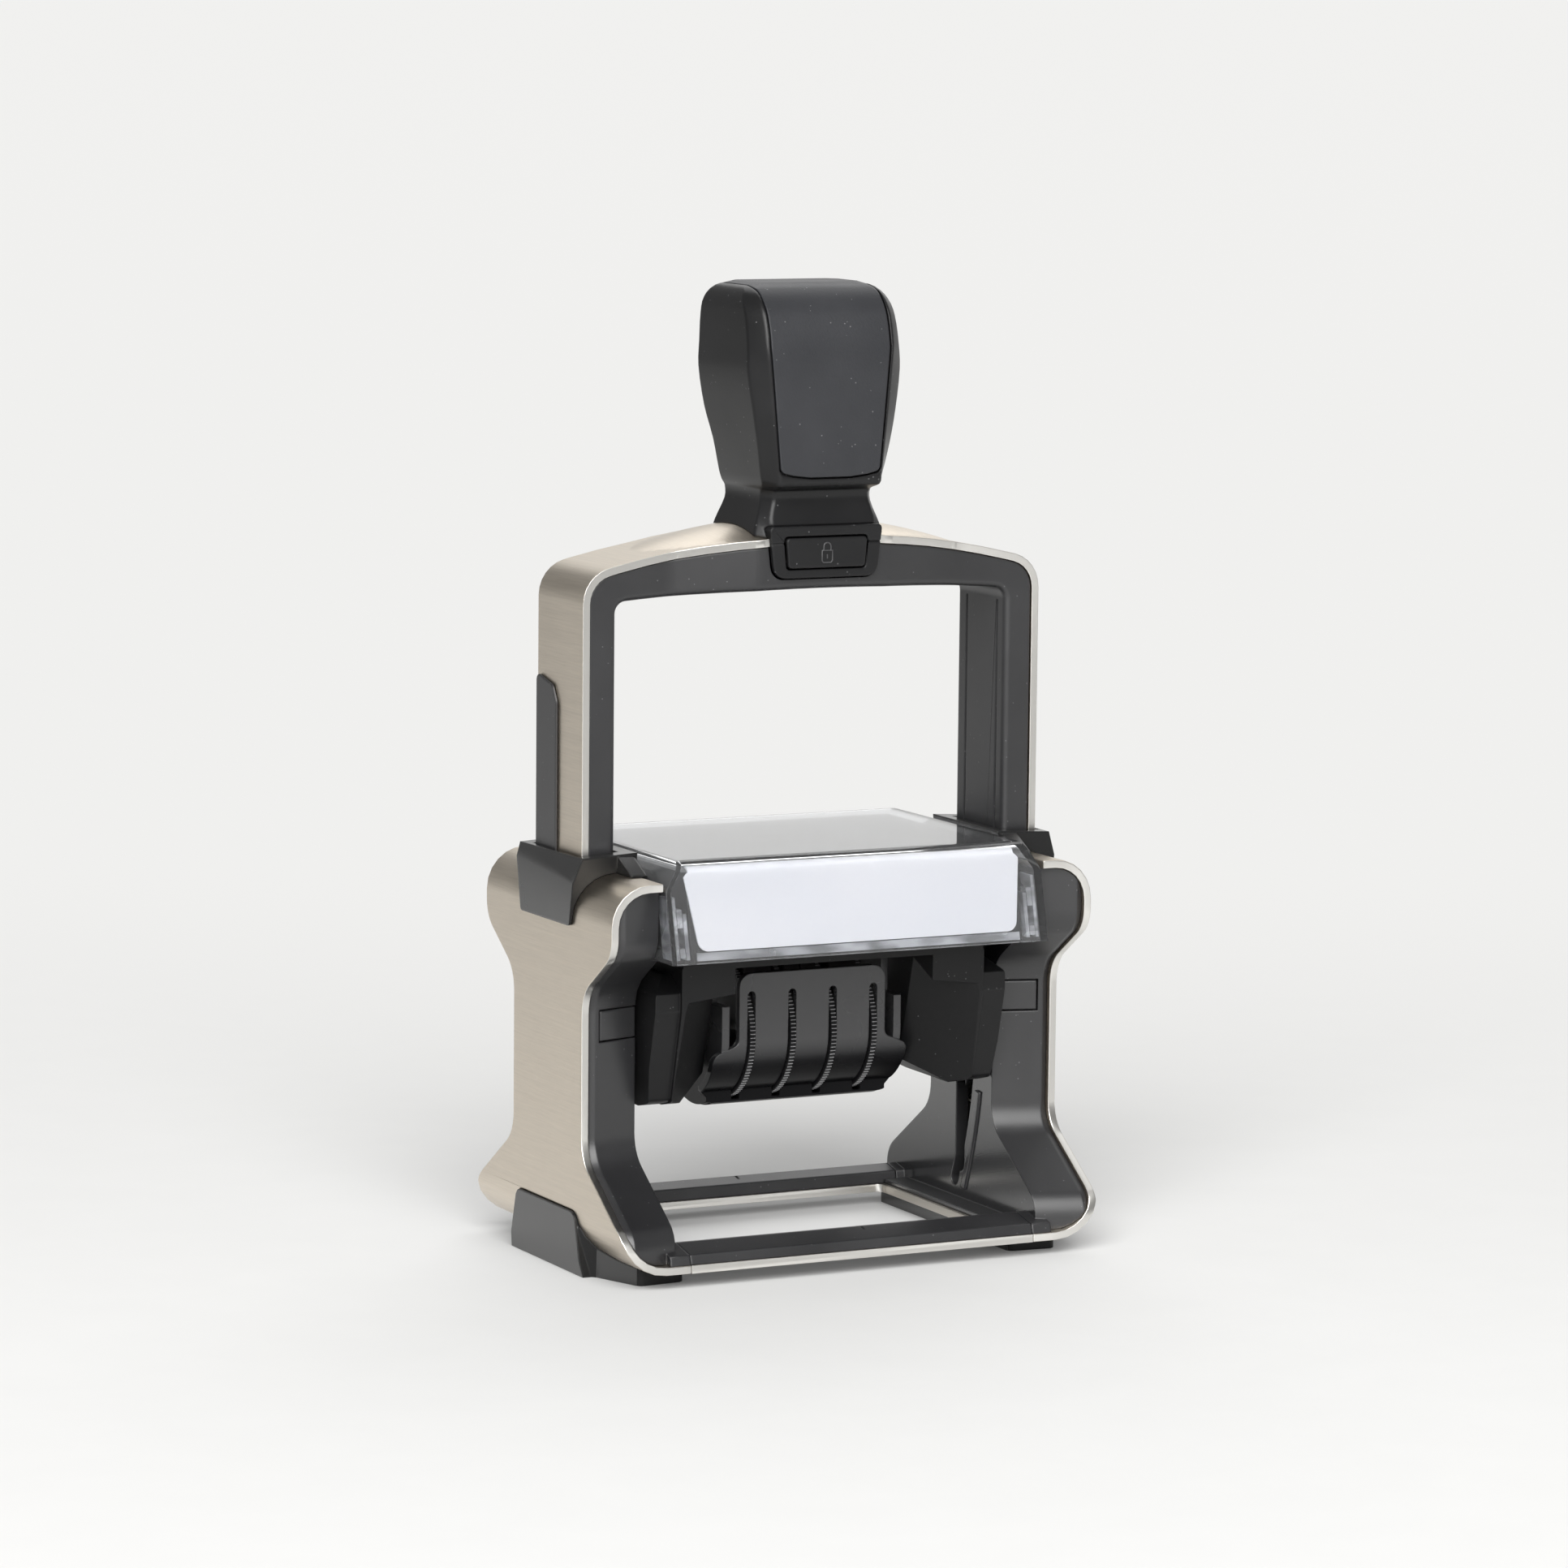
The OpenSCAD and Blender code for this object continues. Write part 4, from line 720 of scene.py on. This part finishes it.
def card_fold():
    """The upper edge of the index card, bent back under the crease of the cover."""
    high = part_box("index_card")[1]
    wall_and_gap, sheet, radius, bend_y, end_gap = 1.3, 0.35, 1.75, -23.79, 0.9
    first_angle, angle_step, count = 154, 8, 9
    half = high.x / MM - end_gap
    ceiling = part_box("index_cover")[1].z / MM - wall_and_gap
    middle = Vector((0, bend_y, ceiling - radius))
    turn = [math.radians(first_angle - angle_step * k) for k in range(count)]
    outer = [middle + radius * Vector((0, math.cos(a), math.sin(a))) for a in turn]
    inner = [middle + (radius - sheet) * Vector((0, math.cos(a), math.sin(a))) for a in reversed(turn)]
    bm = bmesh.new()
    end = bm.faces.new([bm.verts.new((p + Vector((-half, 0, 0))) * MM) for p in outer + inner])
    run = bmesh.ops.extrude_face_region(bm, geom=[end])["geom"]
    moved = [v for v in run if isinstance(v, bmesh.types.BMVert)]
    bmesh.ops.translate(bm, vec=(2 * half * MM, 0, 0), verts=moved)
    bmesh.ops.recalc_face_normals(bm, faces=bm.faces)
    obj = new_object("vis_card_fold", new_mesh("vis_card_fold", bm))
    obj.data.materials.append(CARD)
    shade_by_angle(obj.data, 35.0)
    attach(obj, nodes["index_card"]["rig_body"])


cover_edges()
card_fold()


# Raised padlock on the lock button

def lock_mark():
    """A padlock in outline: body, shackle and keyhole as fine rounded ridges."""
    low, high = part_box("lock_button")
    x, y, z = (low.x + high.x) / 2, low.y, (low.z + high.z) / 2 - 0.35 * MM
    ridge, bow_r, bow_steps = 0.13, 0.72, 10
    body = [(-1.05, -1.1), (-0.75, -1.45), (0.75, -1.45), (1.05, -1.1), (1.05, 0.75), (-1.05, 0.75)]
    angles = [math.pi * (1 - k / bow_steps) for k in range(bow_steps + 1)]
    bow = [(-bow_r, 0.8), (-bow_r, 1.4)]
    bow += [(bow_r * math.cos(a), 1.45 + bow_r * math.sin(a)) for a in angles]
    bow += [(bow_r, 1.4), (bow_r, 0.8)]
    key = [(0.0, 0.05), (0.0, -0.75)]
    curve = bpy.data.curves.new("lock_mark", "CURVE")
    curve.dimensions = "3D"
    curve.bevel_depth = ridge * MM
    curve.bevel_resolution = 2
    curve.use_fill_caps = True
    for points, closed in ((body, True), (bow, False), (key, False)):
        spline = curve.splines.new("POLY")
        spline.points.add(len(points) - 1)
        spline.use_cyclic_u = closed
        for point, (u, v) in zip(spline.points, points):
            point.co = (x + u * MM, y, z + v * MM, 1)
    drawn = new_object("lock_mark_line", curve)
    bm = bmesh.new()
    bm.from_mesh(plain_mesh(drawn))
    bpy.data.objects.remove(drawn)
    bmesh.ops.remove_doubles(bm, verts=bm.verts, dist=1e-6)
    obj = new_object("vis_lock_mark", new_mesh("vis_lock_mark", bm))
    obj.data.materials.append(LIFTED)
    shade_by_angle(obj.data, 60.0)
    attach(obj, "lock")


lock_mark()


# Camera fitted to the photograph

IMAGE_PX, FOCAL_PX, SENSOR_MM = 1932, 7696, 36.0
CAMERA_PLACE = (-0.509136, -1.016792, 0.233117)
AZIMUTH, ELEVATION, ROLL = math.radians(-26.55), math.radians(7.41), math.radians(0.56)


def make_camera():
    back = Vector((math.sin(AZIMUTH) * math.cos(ELEVATION), -math.cos(AZIMUTH) * math.cos(ELEVATION),
                   math.sin(ELEVATION)))
    right = Vector((math.cos(AZIMUTH), math.sin(AZIMUTH), 0))
    up = back.cross(right)
    x_axis = right * math.cos(ROLL) + up * math.sin(ROLL)
    y_axis = up * math.cos(ROLL) - right * math.sin(ROLL)
    data = bpy.data.cameras.new("camera")
    data.sensor_width = SENSOR_MM
    data.lens = SENSOR_MM * FOCAL_PX / IMAGE_PX
    data.clip_start = 0.05
    data.clip_end = 400.0
    cam = new_object("camera", data)
    rotation = Matrix((x_axis, y_axis, back)).transposed().to_4x4()
    cam.matrix_world = Matrix.Translation(Vector(CAMERA_PLACE)) @ rotation
    bpy.context.scene.camera = cam


make_camera()


# Studio: pale sheet, bright sweep behind and soft boxes

SHEET_HALF = 90.0
SWEEP = (0.447, 0.8945, 0.0)
ACROSS = (SWEEP[1], -SWEEP[0], 0.0)
TO_RIGHT = (0.9504, -0.3352, 0.0)
TO_FRONT = (0.2, -0.98, 0.0)
SWEEP_TONE = 0.86
# faint glow of the whole sheet: painted light that lifts its shadows
SHEET_GLOW = 0.03
TENT_TONE, FRONT_TONE = 0.11, 0.18
GLOSSY_SHARE = 0.28

# Changes over the sheet, in metres: start, end and, where they aren't 0 and 1, the values there
BESIDE_ACROSS, BESIDE_ALONG = (0.25, 0.6), (0.8, 0.3)
BEFORE_SHEET = (-0.26, -0.6)
# painted shade on the sheet, to the left and far in front
LEFT_FADE = (-0.95, -0.20, 0.36, 1.0)
FRONT_FADE = (-0.62, -0.42, 0.4, 1.0)
SWEEP_RISE = (-0.06, 0.5)
SHEET_TONES = (0.815, 0.825)

# Changes over the tent, by the part of a direction that points to the named side
TENT_BEHIND, TENT_SWEEP_TOP = (0.80, 0.96), (0.62, 0.28)
TENT_FRONT, TENT_FRONT_TOP = (0.0, 0.8), (0.36, 0.06)


def backdrop_share(tree):
    """How much of the pale backdrop a ray sees: all of it straight or through glass, less in a reflection."""
    path = tree.nodes.new("ShaderNodeLightPath").outputs
    direct = math_node(tree, "MAXIMUM", path["Is Camera Ray"], path["Is Transmission Ray"])
    mirrored = math_node(tree, "MULTIPLY", path["Is Glossy Ray"], GLOSSY_SHARE)
    return math_node(tree, "MAXIMUM", direct, mirrored)


def make_floor():
    """A wide pale sheet with painted shade to the left and far in front, and a faint glow all over, painted
    light that lifts its shadows; behind the object it turns into the glowing sweep.

    Beyond the sheet that the photograph shows, the camera sees the sweep's tone all round.
    """
    bm = bmesh.new()
    bmesh.ops.create_grid(bm, x_segments=1, y_segments=1, size=SHEET_HALF)
    floor = new_object("floor", new_mesh("floor", bm))
    m, tree, p = new_material("sheet_pale")
    place = coordinates(tree, "Object")
    along = weighed(tree, place, SWEEP)
    aside = math_node(tree, "ABSOLUTE", weighed(tree, place, ACROSS))
    beside = math_node(tree, "MULTIPLY", step(tree, aside, *BESIDE_ACROSS), step(tree, along, *BESIDE_ALONG))
    around = math_node(tree, "MAXIMUM", step(tree, along, *BEFORE_SHEET), beside)
    seen = math_node(tree, "MULTIPLY", around, backdrop_share(tree))
    # painted shade: the sheet's colour darkens to the left and far in front
    left = step(tree, weighed(tree, place, TO_RIGHT), *LEFT_FADE)
    dim = math_node(tree, "MULTIPLY", left, step(tree, along, *FRONT_FADE))
    shown = math_node(tree, "MULTIPLY", dim, math_node(tree, "SUBTRACT", 1.0, seen))
    far = step(tree, along, *SWEEP_RISE)
    near = math_node(tree, "SUBTRACT", 1.0, far)
    g = use_group(tree, GRAIN, Grain_size=400.0)
    sheet = spread(tree, g.outputs["Mottle"], *SHEET_TONES)
    lit = math_node(tree, "MULTIPLY", math_node(tree, "MULTIPLY", sheet, shown), near)
    tone = ramp(tree, lit, [(0.0, (0.0, 0.0, 0.0)), (1.0, (1.0, 1.0, 0.992))])
    tree.links.new(tone, p.inputs["Base Color"])
    p.inputs["Roughness"].default_value = 0.9
    p.inputs["Specular IOR Level"].default_value = 0.05
    # painted light: a faint glow everywhere, rising to the sweep's tone far behind
    glow = math_node(tree, "ADD", math_node(tree, "MULTIPLY", far, SWEEP_TONE - SHEET_GLOW), SHEET_GLOW)
    strength = math_node(tree, "ADD", math_node(tree, "MULTIPLY", glow, shown),
                         math_node(tree, "MULTIPLY", seen, SWEEP_TONE))
    tree.links.new(strength, p.inputs["Emission Strength"])
    p.inputs["Emission Color"].default_value = (1.0, 0.997, 0.982, 1)
    floor.data.materials.append(m)


def make_light(name, place, target, size, radiance, colour):
    data = bpy.data.lights.new(name, "AREA")
    data.shape = "RECTANGLE"
    data.size, data.size_y = size
    data.energy = radiance * math.pi * size[0] * size[1]
    data.color = colour
    light = new_object(name, data)
    light.location = place
    light.rotation_euler = (Vector(target) - Vector(place)).to_track_quat("-Z", "Y").to_euler()


def make_world():
    """Tent: the lit sweep low behind the object, dim to the sides and dark above, for the steel to show.

    The camera sees it in the tone of the sweep on every side.
    """
    world = bpy.data.worlds.new("tent")
    bpy.context.scene.world = world
    world.use_nodes = True
    tree = world.node_tree
    background = tree.nodes["Background"]
    place = coordinates(tree, "Generated")
    height = weighed(tree, place, (0.0, 0.0, 1.0))
    behind = step(tree, weighed(tree, place, SWEEP), *TENT_BEHIND)
    under_top = step(tree, height, *TENT_SWEEP_TOP, 0.0, SWEEP_TONE - TENT_TONE)
    sweep = math_node(tree, "MULTIPLY", behind, under_top)
    front = step(tree, weighed(tree, place, TO_FRONT), *TENT_FRONT, 0.0, FRONT_TONE)
    low = math_node(tree, "MULTIPLY", front, step(tree, height, *TENT_FRONT_TOP))
    tent = math_node(tree, "ADD", math_node(tree, "ADD", sweep, low), TENT_TONE)
    seen = math_node(tree, "MULTIPLY", backdrop_share(tree), SWEEP_TONE)
    tone = math_node(tree, "MAXIMUM", tent, seen)
    tree.links.new(ramp(tree, tone, [(0.0, (0.0, 0.0, 0.0)), (1.0, (1.0, 0.997, 0.985))]),
                   background.inputs["Color"])
    background.inputs["Strength"].default_value = 1.0


make_floor()
make_light("front_box", (-1.0, -1.9, 1.5), (0, 0, 0.06), (2.6, 2.3), 6.2, (1.0, 0.997, 0.99))
make_light("back_box", (0.75, 1.15, 1.45), (0, 0, 0.1), (1.8, 1.3), 1.5, (1.0, 1.0, 1.0))
make_world()

scene = bpy.context.scene
scene.cycles.caustics_reflective = False
scene.view_settings.view_transform = "Standard"
